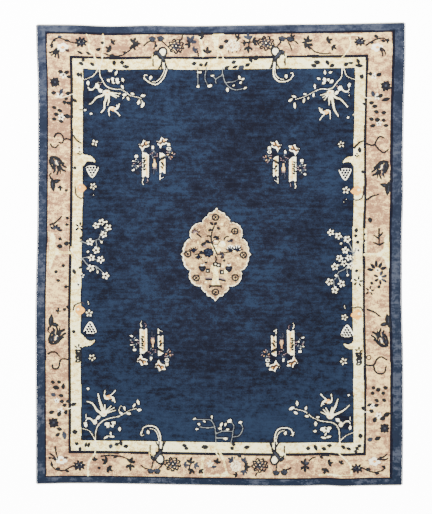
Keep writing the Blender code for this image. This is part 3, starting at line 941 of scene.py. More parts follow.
for yarn, x, y, size, turn in (
    (SLATE, -28.4, 215.2, 8.4, 60), (OLIVE, -31.4, 211, 6, 190), (SLATE, -25.1, 205.4, 5.4, 20),
    (OLIVE, -18.2, 219.6, 6.4, 170), (OLIVE, -12.6, 204.2, 7, 80), (OLIVE, -86, 214, 6.4, 60),
    (OLIVE, -86.6, 208.4, 6.4, -60), (OLIVE, -110.8, 206.2, 6.4, 150), (OLIVE, -107, 213.2, 5, 30),
    (OLIVE, -82.4, 211.6, 5, 0), (SLATE, 28.4, 218.3, 6.6, 90), (OLIVE, 35.3, 213.7, 7, 10),
    (OLIVE, 28.4, 206.4, 6.4, -90), (OLIVE, 24.2, 212.3, 4.6, 180), (OLIVE, 72.6, 218.3, 4.8, 30),
    (OLIVE, 88, 215.4, 6.8, 80), (OLIVE, 88.6, 209.4, 6.8, -70), (OLIVE, 85.2, 212.6, 5, 175),
    (OLIVE, 109, 215, 6, 20), (OLIVE, 113.8, 207.8, 5.4, -30), (OLIVE, 18, 218.2, 4.6, 60),
    (SLATE, -34, -209.7, 5.4, 0), (OLIVE, -29.2, -206.1, 6.4, 80), (SLATE, -23.7, -210.4, 5.6, -20),
    (OLIVE, -28.5, -215.9, 6, -120), (OLIVE, -18.9, -216.1, 4.8, -40), (OLIVE, -114.6, -205.6, 6.4, 160),
    (OLIVE, -110.5, -213.8, 6.4, -30), (OLIVE, -125, -204.2, 4.4, 100), (OLIVE, -88.8, -205.6, 6.6, 70),
    (OLIVE, -89.6, -211.4, 6.8, -90), (SLATE, 24.2, -204.9, 5.4, 60), (OLIVE, 27, -211.6, 6.4, 0),
    (SLATE, 24, -216.8, 5.2, -100), (OLIVE, 16, -219.4, 4.2, 180), (OLIVE, 85, -207.4, 6.8, 80),
    (SLATE, 86.6, -207.8, 4, 20), (OLIVE, 85.2, -213, 7, -90), (OLIVE, 110, -207.6, 5.4, 10),
    (OLIVE, 105.5, -215.2, 6.4, 250), (OLIVE, 121.3, -207.4, 4.4, 60), (SLATE, 11.2, -204.7, 5.6, 150),
    (OLIVE, -2.6, -206.3, 5.6, 80),
):
    lobed_leaf(yarn, x, y, size, turn)
leaves(OLIVE, (-168, 209.2, 2.2, 3.6), (-165.8, 214.4, 2.6, 1.4), (-153.2, 214.8, 4.2, 2.2),
       (-140.1, 202.8, 5.4, 1.8), (-131.6, 202, 4.4, 2.2), (-121.5, 205.8, 4.6, 2.4),
       (-117.4, 212.4, 2.6, 2.2), (-107.2, 200.2, 2.8, 1.6), (-95.2, 202.8, 3.2, 1.8),
       (1.6, 208.2, 4.8, 3.4), (6.4, 214, 4, 2.6), (156.4, 218.8, 3.6, 2.4), (152, 212.6, 3.4, 1.8),
       (163.4, 214.4, 3.4, 1.8), (168, 214.8, 2.2, 3), (-168, -209.6, 2.2, 3.4), (-161.6, -213.2, 3.2, 1.8),
       (-152.6, -216, 3.4, 1.8), (-120.8, -212.7, 2.4, 2), (-104.6, -202, 3, 1.6), (148.6, -213.8, 3.4, 2),
       (157, -218.2, 3.4, 2), (164, -211.8, 3.2, 2), (19.4, -200.9, 3.2, 2.4), (101.8, -202.4, 2.6, 1.6),
       (-63.6, 209.6, 1.6, 2))
spot(SLATE, -160, 218.7, 4, 1.6)
spot(BROWN, -12.8, 203.4, 2.4, 2)

# loose leaves on the guard
leaves(OLIVE, (-136.7, 195, 2.8, 2.2), (-138.7, 191.6, 4.2, 2.6), (-127.7, 191, 4.2, 2.4),
       (-141.5, 180.6, 3, 3.6), (-138.6, 180, 2, 4.2), (-105.7, 192.3, 3, 3.8), (-97.7, 192.6, 3.2, 3.6),
       (-94, 188.6, 6.4, 2.6), (-25.8, 191.6, 4.2, 2.6), (-18.9, 190.3, 3.2, 2.6), (-13.8, 191, 2, 5),
       (7, 187.6, 5, 2.4), (13.9, 193, 4, 2.8), (15.3, 188.2, 5, 2), (27.7, 190.3, 5, 2.4),
       (31, 195, 2.8, 4.2), (36, 197.4, 5.6, 4), (93.8, 189.6, 5, 2.8), (97.2, 193, 5.6, 3.4),
       (107.6, 192.6, 2.8, 4.8), (112.4, 189.6, 4.2, 2.8), (126.2, 191, 4.2, 2.8), (131, 192.3, 4, 2),
       (138.3, 194, 2.8, 4.2), (139.3, 189.6, 7.4, 2.8), (142, 178.6, 3.6, 3.8), (-145, -176.7, 4.6, 3.6),
       (-143.1, -188.4, 3.2, 2.6), (-139.8, -193.7, 2.4, 3.2), (-134, -189.7, 1.8, 4),
       (-131, -189.7, 1.8, 4), (-103, -189, 4, 2.8), (-98.8, -188.1, 2.8, 4), (-94, -191.1, 4, 2.8),
       (-35.4, -190.4, 4, 2.8), (-33.4, -193.2, 3.2, 2.4), (-14.8, -191.8, 6, 3.6), (12.3, -193.2, 3, 2.8),
       (13.6, -189, 3, 2.8), (27, -192, 5, 2.8), (88.3, -193.2, 3.4, 3), (95.9, -192.5, 2.8, 5.6),
       (104.1, -193.6, 3.8, 3), (109.6, -190.4, 4.2, 2.4), (123.4, -192, 4.2, 2.4), (128.9, -193.6, 4.2, 2),
       (137.2, -193.2, 3, 2.6), (139.6, -190.6, 3, 2.6), (135.8, -196.2, 3, 2), (140.6, -180.8, 3.6, 3.8))
leaves(SLATE, (21.5, 187.6, 5.8, 3.6), (-109.1, -191.1, 3, 3.8))


# The border and guard along the two sides
# Flower sprays near the corners, then a curling vine, a streaming peony and a small bird,
# with single leaves between them.
def star_flower(x, y, wide, turn):
    """Eight dark petals, parted by the ground, about a slate heart."""
    for k in range(8):
        petal(OLIVE if k % 2 else NAVY, x, y, wide * (0.56 if k % 2 else 0.48), wide * 0.27, turn + 45 * k)
    spot(SLATE, x, y, wide * 0.24)


def streaming_peony(x, y):
    """A dark peony with curled petals about a pale heart, whose tips trail away below it."""
    with facing(x, y):
        for points, wide in (
            ([(-6.6, 6.6), (-7.2, 2.6), (-6, -1.6)], 2.2),
            ([(-5.6, 7.4), (-1.4, 7.4), (2, 5.4), (4.4, 2.6), (6.6, 1.4)], 1.8),
            ([(-4.6, 5), (-4.4, 0.8), (-2, -2)], 1.5), ([(-2, 5.6), (1.8, 4), (2.8, 0.6), (2, -2.4)], 1.3),
            ([(0.4, -2), (0.8, -6), (-0.4, -9.6)], 1.8), ([(2.4, -1.4), (4.2, -4.4), (7.6, -6.4)], 2.2),
            ([(4.4, 2), (6, -1.2), (8.8, -2.8)], 1.7), ([(-3.4, -1.8), (-2.6, -5.4), (-3.6, -8)], 1.5),
            ([(-5.8, -1.4), (-4.6, -4.4)], 1.4), ([(2, -2.6), (3, -6.2), (3.2, -8.8)], 1.1),
        ):
            stem(OLIVE, points, wide * 1.25, wide * 0.8)
        for points, wide in (
            ([(-5.4, 4.8), (-5.7, 2.2)], 0.9), ([(-3, 3.8), (-2.8, 0.6), (-0.8, -1)], 1.2),
            ([(0.4, 3.2), (1, 0.8)], 1.4), ([(3.4, -1.6), (4.8, -3.2)], 0.8),
            ([(-2.4, -2.8), (-1.4, -6.4)], 0.9),
        ):
            stem(SLATE, points, wide, wide * 0.7)
        stem(CREAM, [(-1.2, 3.6), (-0.9, 1.4), (0.4, -0.4)], 1.2, 0.8)


def little_bird(x, y):
    """A small dark bird against the outer band, with one wing spread inwards."""
    with facing(x, y):
        leaf(OLIVE, -0.4, -0.6, 13.6, 4.6, -84)
        leaf(OLIVE, 3.2, 3, 8.6, 3.8, 14)
        stem(OLIVE, [(-2.4, 5.6), (-3.4, 9.4), (-1.8, 11.2)], 1.5, 0.8)
        stem(SLATE, [(-1.2, 1.8), (-0.6, -3.6)], 1, 0.6)
        spot(SLATE, 3.4, 3, 2.6, 1, 14)


PALE_TRUNK = (  # it crosses the border behind the plum branch and widens along the outer band
    (146, 2.4), (158, 1.8), (164.4, 6), (166, 17), (170.6, 17.4), (170.8, -15), (167.2, -9), (164.4, -2.4),
    (158, -1.2), (146, -0.8),
)
for side, inward, lean in ((1, 1.4, 0), (-1, 0.4, 2)):
    shape(IVORY, [(side * (x - inward), y + lean) for x, y in PALE_TRUNK], True)
for x, y, wide, turn in ((-165, 173, 10, 12), (166.1, 169.2, 10.4, 20), (-166.2, -167.7, 10.4, 8),
        (164.7, -173.2, 9.8, 0)):
    star_flower(x, y, wide, turn)
for x, y, across in ((-156.5, 180.2, 7), (-160.3, 160.4, 6.6), (-158.6, 138, 7), (154.4, 179.2, 6.4),
        (157.2, 158.4, 6.6), (159, 131.6, 5.6), (-159.6, -155.8, 6.4), (158.6, -160.6, 6.6),
        (-163.2, -145.4, 5), (152.6, -151, 5.4)):
    blossom(x, y, across * 1.1, 5, WHITE, SLATE, draw.uniform(0, 72), 0.2)
stem(CREAM, [(-164, 158.4), (-159.6, 157.4), (-155.3, 158.2), (-147, 161.4), (-144.8, 162.6)], 1.3, 0.9)
for points in ([(150.4, 157), (146, 157.6), (143.8, 159.4)],
        [(-151.6, -153.4), (-146.8, -153), (-144.6, -152)],
        [(150.8, -157.4), (146.4, -156.6), (144, -157)]):
    stem(CREAM, points, 1.1)
leaves(OLIVE, (-159.4, 183.4, 4.2, 3), (-153.2, 182.9, 4.2, 3), (-151, 178.4, 4, 2.4),
       (-166.3, 162.4, 4.4, 2.6), (-151.8, 161.9, 4.2, 3), (-153.9, 156.3, 3.2, 2.2),
       (-155.5, 152.8, 2.8, 3.2), (-151.1, 152.2, 4.2, 2.6), (-145, 154.7, 4.2, 2.4),
       (-165.6, 147.6, 4.2, 2.6), (-160, 144.4, 4.2, 2.8), (-163.5, 141, 4.2, 3), (-152.7, 139, 6.2, 3.4),
       (-165.6, 136.1, 4.2, 2.4), (-158.8, 133.9, 4.2, 2.4), (159.2, 180.6, 5, 3), (150.6, 181.4, 3.2, 2.8),
       (160.8, 159.3, 4.8, 2.8), (166.1, 155.8, 7.6, 2.8), (151.6, 152.4, 4.2, 2.8), (155, 149, 4.2, 2.8),
       (144.8, 151.4, 3.2, 2), (156.5, 143.4, 4.2, 2.8), (164, 142.5, 4.2, 2.8), (151.6, 136, 4.2, 2.8),
       (157.6, 135.4, 4.6, 3.4), (163.8, 134.9, 3, 2.6), (153, 129.5, 5, 2.4), (166.1, 129.7, 4.2, 2.4),
       (-167, -127, 3.2, 2.6), (-160.8, -126.7, 3.2, 2.6), (-156.6, -131.2, 2.8, 4.8),
       (-163.8, -132.4, 5.8, 3.4), (-158.7, -140.4, 4.2, 2.8), (-158, -146.3, 3.4, 2.8),
       (-151.8, -146, 3.2, 2.6), (-155.3, -150, 3.2, 2.6), (-146.3, -149.2, 5, 2.6),
       (-168.3, -157.2, 4.8, 2.8), (-160.6, -158.8, 3.2, 5), (-153.9, -157, 2.8, 4),
       (-160.5, -173.9, 4.2, 2.8), (-162.1, -179.4, 4.2, 2.4), (153.7, -132.6, 3, 2.8),
       (158.5, -134.4, 4, 3.2), (165.7, -132.6, 4, 2.8), (152.7, -138, 3, 2.8), (163.4, -138, 3, 2.8),
       (156.9, -145.4, 4, 2.8), (164.3, -145, 3.6, 2.8), (149.6, -149.6, 4.2, 2), (156.6, -150.2, 4, 2.6),
       (151.7, -155.9, 3.8, 3.2), (143.7, -153.2, 4, 2.8), (166.8, -159.4, 6.6, 3.4),
       (155.1, -164.6, 3.4, 5), (162.9, -163.3, 4.8, 3.4), (157.8, -183.3, 5.6, 3.4))
leaves(SLATE, (-158.6, 163.6, 2.6, 5.6), (153.4, 161.2, 2.8, 5.6), (-166.6, -139.5, 4.2, 3),
       (-155.5, -180.1, 3.4, 7.4), (150.3, -184.3, 4.6, 3.4))
for points in (
    [(-165.4, 118.2), (-164, 121), (-161.4, 122), (-158, 120.4), (-156.2, 115.9), (-157.6, 112.6),
     (-160.8, 112.6)], [(-156.2, 115.9), (-152.8, 116.4), (-149.8, 115.3)],
     [(-169.2, 110.8), (-167.4, 108.3), (-164, 107.9), (-161.3, 110.4)],
     [(-146, 119.4), (-143.6, 115.4), (-138.7, 111.9)],
     [(147.3, 111.4), (151.6, 110), (154.8, 110.9), (156.7, 114.7), (159.9, 118.7), (164.2, 117.2)],
     [(155.6, 109.9), (159.7, 105.2), (164, 102.6), (168.4, 105.6)],
     [(134.6, 107.4), (139.4, 112.6), (145, 114.7)],
     [(-171.8, -98.6), (-168.2, -96.8), (-164.7, -96.9), (-160.6, -100.6)],
     [(-167.4, -109.9), (-166.6, -113.1), (-163.6, -113.7), (-160.8, -111.4), (-159.6, -105.4),
      (-156.4, -103.6), (-153.4, -103.9), (-149.6, -105.4)],
      [(145.8, -109.5), (150.4, -110.4), (154.4, -109.1), (157.2, -104), (161.4, -101.8), (166.9, -104.6)],
      [(154.2, -111.8), (155.4, -116), (159.5, -118.7), (164.6, -117.2), (166.3, -111.2)],
      [(-169.8, 30.4), (-164.4, 32.8), (-158.5, 38.3)], [(-161.6, -53), (-161.6, -58.4)],
      [(-163.4, -55.4), (-159.8, -56)], [(-159.6, 69), (-159.4, 64.8)], [(-161.4, 67.6), (-157.6, 67.2)],
      [(147.3, 55.6), (152.4, 59), (158.7, 60.8)], [(159.2, 26.4), (159.4, 9.8)],
      [(159.2, 16.6), (154.2, 19.7)], [(159.2, 18.6), (163, 22.4)], [(159.4, 10.2), (154.2, 12.7)],
      [(159.4, 10), (164.2, 12.7)], [(147.3, -54.2), (153.6, -56.6), (160.2, -61.2)],
):
    stem(OLIVE, points, 1.6, 1.1)
spot(BROWN, 148.9, -102.4, 5)
spot(ROSE, 148.9, -102.4, 3.6)
for x, y in ((-162.4, 90.6), (-163.2, -80.8), (160.8, 86.2), (160.6, -83.4)):
    streaming_peony(x, y)
for x, y in ((-166.6, 71), (-168.4, -66.4), (167.6, 67), (167.6, -66)):
    little_bird(x, y)
leaves(OLIVE, (-153.5, 64.8, 2.4, 2), (-152.5, 37.2, 2.6, 2.2), (-153, 30.5, 2.6, 2.2),
       (-159.7, 16.3, 2.8, 2.4), (-160, 9, 4.8, 3.6), (-153.2, 11.7, 4.8, 3.6), (-156.5, -10.4, 2.6, 2.4),
       (-163.8, -16.6, 2.8, 2.4), (-161.6, -25.3, 2.8, 2.4), (-153.7, -31.6, 2.8, 2.4),
       (-155.3, -54.2, 2.6, 2.4), (-152.1, -51.9, 2.6, 2.2), (-145, 87.2, 2.2, 2.2),
       (-138.7, 17.2, 2.4, 2.4), (-145.6, -16.4, 2.8, 4.6), (-139.7, -12.5, 2.2, 2),
       (-146.2, -76.3, 2.6, 2.4), (150.3, 35.1, 3.6, 4.4), (151.9, -28, 2.4, 2.2), (159.2, -31.7, 2.6, 2.2),
       (139.9, 105.2, 2.8, 4.6), (143, 83.4, 2.4, 2.4), (136.5, 24.8, 2.8, 3.8), (135.8, 19.3, 2.4, 2.4),
       (137.9, 13.1, 2.6, 2.6), (136.8, -15.7, 2.4, 2.2))
leaf_fan(NAVY, -164.2, 24.4, 8.8, 75, 5, 34)
leaf_fan(SLATE, -164, 24.8, 6, 80, 4, 40)
leaf_fan(NAVY, 157.2, -15.4, 13, 96, 5, 38)
spot(APRICOT, 157.6, -15.4, 7.4, 6)
spot(IVORY, 157.6, -15.2, 5.4, 4.2)
spot(BROWN, 157.8, -15.2, 1.6, 1.6)
leaf_fan(NAVY, 160.6, -22.6, 9.6, 20, 3, 55)
leaf_fan(SLATE, 160.2, -22.4, 8, 20, 3, 60)
leaf_fan(NAVY, 160.2, -22.6, 8.8, 215, 3, 60)
spot(WHITE, 160.2, -22.6, 3.6, 3.2)
for x, y, tall in ((-140.1, 28.3, 7), (-141.5, -93, 6.2), (138.6, -96.2, 6.2), (150, -35.6, 6.8),
        (138.2, -26.4, 7.6)):
    leaf_fan(NAVY, x, y, tall * 0.92, 80, 5, 70)
    spot(WHITE, x, y, 1.8, 1.6)
for x, y in ((-140.1, 102.4), (137.2, 100.4)):
    for dx, dy in ((-1.7, -0.8), (0, 1), (1.7, -0.8), (0, -1.6)):
        spot(NAVY, x + dx, y + dy, 1.5, 1.3)
for x, y in ((-138, -20.5), (-141.5, -29.4), (138.6, 4.8)):
    blossom(x, y, 5.6, 5, WHITE, NAVY, 20, 0.34)
stem(IVORY, [(-148.4, 8), (-147.6, 2), (-146.6, -6.8)], 2.4)
stem(WHITE, [(-149.6, 5.6), (-146.4, 1), (-142.6, -3), (-138, -5)], 0.9)
for y in (26, 19.4, 12.8, 7):
    stem(IVORY, [(145.9, y), (145.9, y - 3)], 2.4)


# The four groups of vases and hanging scrolls
# Between the medallion and each corner two tall panels hang from folded ribbons, among
# small pots, a vase and bursts of petals. The marks on them are plain strokes.
def ribbon(x, y):
    """A folded ribbon: white edges round a warm fold, creased in brown, one end hanging."""
    with moved(x, y):
        shape(WHITE, [(-5.8, 2.6), (-4.2, 1.6), (-2.4, 2.4), (-0.8, 6.2), (2, 4.4), (6, 4.6), (4.4, 1.8),
                (5.2, -0.6), (2.4, -1.6), (0.4, -2.2), (-1.6, -6.4), (-3, -3), (-4.8, -1)])
        shape(APRICOT, [(-4, 0.4), (-1.6, 1.4), (0.4, 4.2), (3.2, 3.4), (2.8, 0.6), (-0.6, -0.6),
                (-2.2, -3.2)])
        stem(BROWN, [(-4.2, 0.6), (-2, -0.4), (-0.2, 0.8), (0.8, 3.8)], 1.4, 1.2)
        stem(BROWN, [(0.2, 1.2), (2.2, 0.4), (3.6, 1.8)], 1.3, 1)


def burst(x, y, wide, tall, yarns=(MAUVE, ASH, BAND, ASH, CREAM), count=11):
    """Short petals set apart round one point."""
    for k in range(count):
        angle = 2 * math.pi * (k + 0.3) / count
        reach = 0.27 if k % 2 else 0.42
        yarn = yarns[k % len(yarns)]
        leaf(yarn, x + wide * reach * math.cos(angle), y + tall * reach * math.sin(angle), wide * 0.3,
             wide * 0.15, math.degrees(angle) + 25)


def pot(x, y, wide, tall, yarn=WHITE):
    shape(yarn, [(x - wide * 0.4, y + tall / 2), (x + wide * 0.4, y + tall / 2),
            (x + wide / 2, y - tall / 2), (x - wide / 2, y - tall / 2)])


def panel(x, y, half, top, low, marks, strip):
    """A hanging panel with white edges, a warm strip, dark marks and a forked foot."""
    with moved(x, y):
        shape(WHITE, [(-half, top), (half * 0.1, top - 0.6), (half, top - 2.8), (half, low - 0.6),
                (half * 0.5, low + 0.2), (0, low + 1.8), (-half * 0.5, low), (-half, low + 0.4)])
        shape(IVORY, [(1.1 - half, top - 1.4), (half - 1, top - 3.4), (half - 1, low + 2),
                (1.1 - half, low + 2.4)])
        shape(APRICOT, [(strip - 1.2, top - 3.2), (strip - 0.2, top - 3.6), (strip - 0.2, low + 1.6),
                (strip - 1.2, low + 2.2)])
        for k in range(marks):
            level = top - 6.4 - 2.2 * k
            side = 0.4 if k % 2 else -0.4
            stem(OLIVE, [(side - strip - 0.6, level), (side - strip + 0.8, level + 0.4)], 1.4)


def hangings(x, y, lift):
    """One whole group, from the middle of its wider panel."""
    with facing(x, y):
        panel(0, 0, 3.7, 13.2, -12.4, 6, 1.5)
        panel(16.9, lift, 2.9, 9.6, -11.4, 0, 1.2)
        with moved(16.9, lift):
            shape(OLIVE, [(-2.9, 0.8), (2.9, 4), (2.9, 6.4), (-2.9, 3.4)])
            for u, v in ((-1.1, -0.6), (0.2, -2.6), (-1.2, -4.8)):
                stem(OLIVE, [(u, v), (u + 1.2, v - 1)], 1.5)
        ribbon(-1.4, 19.3)
        ribbon(16.5, lift + 18.9)
        shape(DEEP, [(0.6, 17.2), (3.4, 15.4), (4.6, 8.6), (3.2, 10.4), (1.2, 11.6)])
        spot(DEEP, 17.6, lift + 11.6, 3.4, 3.6)
        stem(CREAM, [(-2.2, -14), (-3.2, -17), (-2, -19.6)], 1.4, 0.9)
        stem(MAUVE, [(2, -14), (2.2, -16.4), (0.6, -17.6)], 1.2, 0.8)
        stem(CREAM, [(14.8, lift - 13), (14.4, lift - 18)], 1.3, 0.9)
        stem(WHITE, [(15, lift - 16.6), (18.4, lift - 15)], 1.2, 0.8)
        # the burst, pot and stalk outside the wider panel
        pot(-9.2, 9, 3.8, 2.8)
        spot(CREAM, -9.4, 6.2, 2, 1.6)
        burst(-9.2, 1.4, 9.6, 10)
        spot(WHITE, -12.2, -4.8, 3.4, 2, 20)
        spot(NAVY, -8.4, -7.6, 4.4, 3, -30)
        # the pot, burst and vase between the panels
        pot(7.4, 17.8, 2.6, 3.6)
        spot(BAND, 7.3, 14.8, 3.4, 2.4)
        burst(8.4, 10.6, 8.4, 7.4, (MAUVE, BAND, ASH, MAUVE), 9)
        shape(ROSE, [(7.9, 6.4), (10.3, 6.4), (10.1, 3.4), (11.4, 0.4), (10.6, -2), (7.6, -2), (6.8, 0.4),
                (8.1, 3.4)])
        pot(9.1, -2.6, 4.4, 1.4, MAUVE)
        stem(SLATE, [(8.6, -4.2), (7.8, -6.4), (8.2, -8.8)], 1)
        stem(SLATE, [(10, -4.4), (11.2, -6)], 0.9)
        # the pot, ring and burst outside the narrower panel
        pot(23.2, lift + 17.6, 3.4, 3.4, CREAM)
        spot(WHITE, 23.2, lift + 13.4, 4.6, 3.8)
        spot(NAVY, 23.2, lift + 13.4, 2, 1.6)
        burst(24.8, lift + 7.2, 9.6, 9.6, (MAUVE, ROSE, BAND, ASH))


with outlined():
    for x, y, lift in ((-74.3, 90, 3.2), (72.8, 85.8, 4.1), (-76.1, -85.6, 5.8), (71, -87.3, 4.4)):
        hangings(x, y, lift)


# The ground cloth
# Cotton warps run from end to end and cotton wefts across them. Every row of knots is
# packed down on them, so the weave shows only at the two ends, as a narrow web.
CLOTH_LOW = 0.0005
CLOTH_HIGH = 0.0023
WEB_WIDTH = 0.008
WEFT_PITCH = 0.0016
WEFT_SIZE = 0.0005
WEB_NARROWING = 0.0004  # the share by which the webs draw in
CLOTH_ROWS = 46
CLOTH_COLUMNS = 245
CREASE = math.radians(50)  # faces that meet at more than this keep a sharp edge


def colour(red, green, blue):
    """A colour as a picture shows it, from 0 to 255, as the light it throws back."""
    parts = [c / 255 for c in (red, green, blue)]
    return (*[c / 12.92 if c <= 0.04045 else ((c + 0.055) / 1.055) ** 2.4 for c in parts], 1.0)


def solid_from(name, points, faces, material):
    """An object from corner points and faces."""
    mesh = bpy.data.meshes.new(name)
    mesh.from_pydata([tuple(p) for p in points], [], [tuple(f) for f in faces])
    mesh.validate()
    mesh.materials.append(material)
    solid = bpy.data.objects.new(name, mesh)
    bpy.context.scene.collection.objects.link(solid)
    return solid


class Nodes:
    """Places and joins the nodes of one tree."""

    def __init__(self, tree):
        self.tree = tree

    def add(self, kind, into=None, **settings):
        """A new node: settings set its options, and into maps an input to a value or an output."""
        node = self.tree.nodes.new(kind)
        for option, value in settings.items():
            setattr(node, option, value)
        for name, value in (into or {}).items():
            socket = node.inputs[name]
            if isinstance(value, bpy.types.NodeSocket):
                self.tree.links.new(value, socket)
            else:
                socket.default_value = value
        return node

    def math(self, operation, a, b=0.0, clamp=False):
        node = self.add("ShaderNodeMath", {0: a, 1: b}, operation=operation, use_clamp=clamp)
        return node.outputs[0]


def new_group(name, kind, sockets_in, sockets_out):
    """An empty node group with named inputs, each with its kind and default, and outputs."""
    group = bpy.data.node_groups.new(name, kind)
    for socket, (socket_kind, default) in sockets_in.items():
        item = group.interface.new_socket(name=socket, in_out="INPUT", socket_type=socket_kind)
        if default is not None:
            item.default_value = default
    for socket, socket_kind in sockets_out.items():
        group.interface.new_socket(name=socket, in_out="OUTPUT", socket_type=socket_kind)
    nodes = Nodes(group)
    start = nodes.add("NodeGroupInput")
    end = nodes.add("NodeGroupOutput")
    return group, nodes, start.outputs, end.inputs


def new_material(name, settings):
    """A material whose plain values are set on its own shader's sockets."""
    material = bpy.data.materials.new(name)
    material.use_nodes = True
    skin = material.node_tree.nodes["Principled BSDF"].inputs
    for socket, value in settings.items():
        skin[socket].default_value = value
    return material, Nodes(material.node_tree), skin


# cotton: fine twisted threads, a little uneven in tone
cotton_group, at, given, out = new_group(
    "cotton_thread", "ShaderNodeTree",
    {"Colour": ("NodeSocketColor", (0.8, 0.78, 0.72, 1)), "Thread": ("NodeSocketFloat", 0.0009)},
    {"Colour": "NodeSocketColor", "Normal": "NodeSocketVector"},
)
where = at.add("ShaderNodeTexCoord").outputs["Object"]
thread = at.add("ShaderNodeVectorMath", {0: where, 3: at.math("DIVIDE", 1.0, given["Thread"])},
                operation="SCALE")
parts = at.add("ShaderNodeSeparateXYZ", {0: thread.outputs[0]})
across_wave = at.math("SINE", at.math("MULTIPLY", parts.outputs[0], math.tau))
along_wave = at.math("SINE", at.math("MULTIPLY", parts.outputs[1], math.tau))
weave = at.math("MULTIPLY", across_wave, along_wave)
tone = at.add("ShaderNodeTexNoise", {"Vector": where, "Scale": 70.0, "Detail": 3.0})
soil = at.add("ShaderNodeMix", {0: at.math("MULTIPLY", tone.outputs[0], 0.5), 6: given["Colour"],
                                7: colour(196, 188, 168)}, data_type="RGBA")
fuzz = at.add("ShaderNodeTexNoise", {"Vector": where, "Scale": 900.0, "Detail": 2.0})
bump = at.add("ShaderNodeBump", {"Height": at.math("ADD", weave, fuzz.outputs[0]), "Distance": 0.0002,
                                 "Strength": 0.6})
at.tree.links.new(soil.outputs[2], out["Colour"])
at.tree.links.new(bump.outputs[0], out["Normal"])


def cotton(name, shade, thread_width):
    """Undyed cotton yarn, matte with a little fuzz."""
    material, at, skin = new_material(
        name, {"Roughness": 0.92, "Sheen Weight": 0.25, "Specular IOR Level": 0.25})
    cloth = at.add("ShaderNodeGroup", {"Colour": shade, "Thread": thread_width}, node_tree=cotton_group)
    at.tree.links.new(cloth.outputs["Colour"], skin["Base Color"])
    at.tree.links.new(cloth.outputs["Normal"], skin["Normal"])
    return material


web_cotton = cotton("web_cotton", colour(232, 228, 214), 0.0019)

# the sheet's rows: few under the pile, then one on each side of every weft in the webs
web_rows = np.arange(0, WEB_WIDTH + 1e-9, WEFT_PITCH / 4)
foot_rows = -WEB_WIDTH + web_rows
inner_rows = np.linspace(0, 2 * HALF_LENGTH, CLOTH_ROWS)[1:-1]
cloth_rows = np.concatenate([foot_rows, inner_rows, 2 * HALF_LENGTH + web_rows])
cloth_columns = np.linspace(0, 1, CLOTH_COLUMNS)


def cloth_point(across, row):
    """A place on the crooked carpet, for a row measured in metres from the foot edge."""
    along = min(max(row / (2 * HALF_LENGTH), 0), 1)
    x, y = lay(across, along)
    past = row if row < 0 else max(row - 2 * HALF_LENGTH, 0)
    return float(x), float(y + past)


cloth_top, cloth_low = [], []
for row in cloth_rows:
    in_web = row <= 0 or row >= 2 * HALF_LENGTH
    weft = WEFT_SIZE * (math.cos(row / WEFT_PITCH * math.tau) - 1) * 0.5 if in_web else 0.0
    for across in cloth_columns:
        x, y = cloth_point(across, row)
        x *= 1 - WEB_NARROWING * in_web
        cloth_top.append((x, y, CLOTH_HIGH + weft))
        cloth_low.append((x, y, CLOTH_LOW - weft * 0.5))
wide, high = len(cloth_columns), len(cloth_rows)
lower = wide * high
cloth_faces = []
for j in range(high - 1):
    for i in range(wide - 1):
        a = j * wide + i
        cloth_faces.append((a, a + 1, a + wide + 1, a + wide))
        cloth_faces.append((lower + a, lower + a + wide, lower + a + wide + 1, lower + a + 1))
for i in range(wide - 1):
    a, b = i, (high - 1) * wide + i
    cloth_faces.append((lower + a, lower + a + 1, a + 1, a))
    cloth_faces.append((lower + b + 1, lower + b, b, b + 1))
for j in range(high - 1):
    a, b = j * wide, j * wide + wide - 1
    cloth_faces.append((lower + a + wide, lower + a, a, a + wide))
    cloth_faces.append((lower + b, lower + b + wide, b + wide, b))
ground_cloth = solid_from("ground_cloth", cloth_top + cloth_low, cloth_faces, web_cotton)
for face in ground_cloth.data.polygons:
    face.use_smooth = True
ground_cloth.data.set_sharp_from_angle(angle=CREASE)
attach(ground_cloth, "root")


# The pile
# Wool knots in sixteen dyes, sheared to one height, so that the tips of one dye meet
# those of the next. Each dye is one piece; its knots reach from the back to the tips.
PILE_HEIGHT = 0.010
RIM_DROP = 0.0026  # how far the tips fall away at the rim, and within how many knots of it
RIM_REACH = 0.9
RIM_STEP = 4  # knots between the rim's points
GRID_STEP = 12  # knots between the points that carry the carpet's slow waves
WAVE = 0.0003
WAVES_A_METRE = 2.3
CLEAR = 3  # knots that a spare point keeps from any line
JOIN_ROUNDS = 6
TOP_SHARE = 0.78  # of the map's width for the tips; the back and the sides share the rest
BACK_SHARE = 0.16
SIDE_SHARE = 0.03
MAP_GAP = 0.01

pile_group, at, given, out = new_group(
    "wool_pile", "ShaderNodeTree",
    {
        "Colour": ("NodeSocketColor", (0.1, 0.1, 0.1, 1)),
        "Light Dye": ("NodeSocketColor", (0.2, 0.2, 0.2, 1)),
        "Dark Dye": ("NodeSocketColor", (0.05, 0.05, 0.05, 1)),
        "Middle Tone": ("NodeSocketColor", (0.1, 0.1, 0.1, 1)),
        "Foot Dye and Painted Light": ("NodeSocketColor", (0.1, 0.1, 0.1, 1)),
        "Streaks": ("NodeSocketFloat", 1.0),
        "Drift": ("NodeSocketFloat", 1.0),
        "Grain": ("NodeSocketFloat", 1.0),
    },
    {"Colour": "NodeSocketColor", "Normal": "NodeSocketVector"},
)
where = at.add("ShaderNodeTexCoord").outputs["Object"]


def noise_at(scale, size, detail=2.0, seed=0.0, roughness=0.5):
    """Noise about zero, on coordinates scaled apart on each axis."""
    moved_to = at.add("ShaderNodeMapping", {"Vector": where, "Scale": scale, "Location": (seed, -seed, 0)})
    texture = at.add("ShaderNodeTexNoise", {
        "Vector": moved_to.outputs[0], "Scale": size, "Detail": detail, "Roughness": roughness})
    return at.math("SUBTRACT", texture.outputs[0], 0.5)


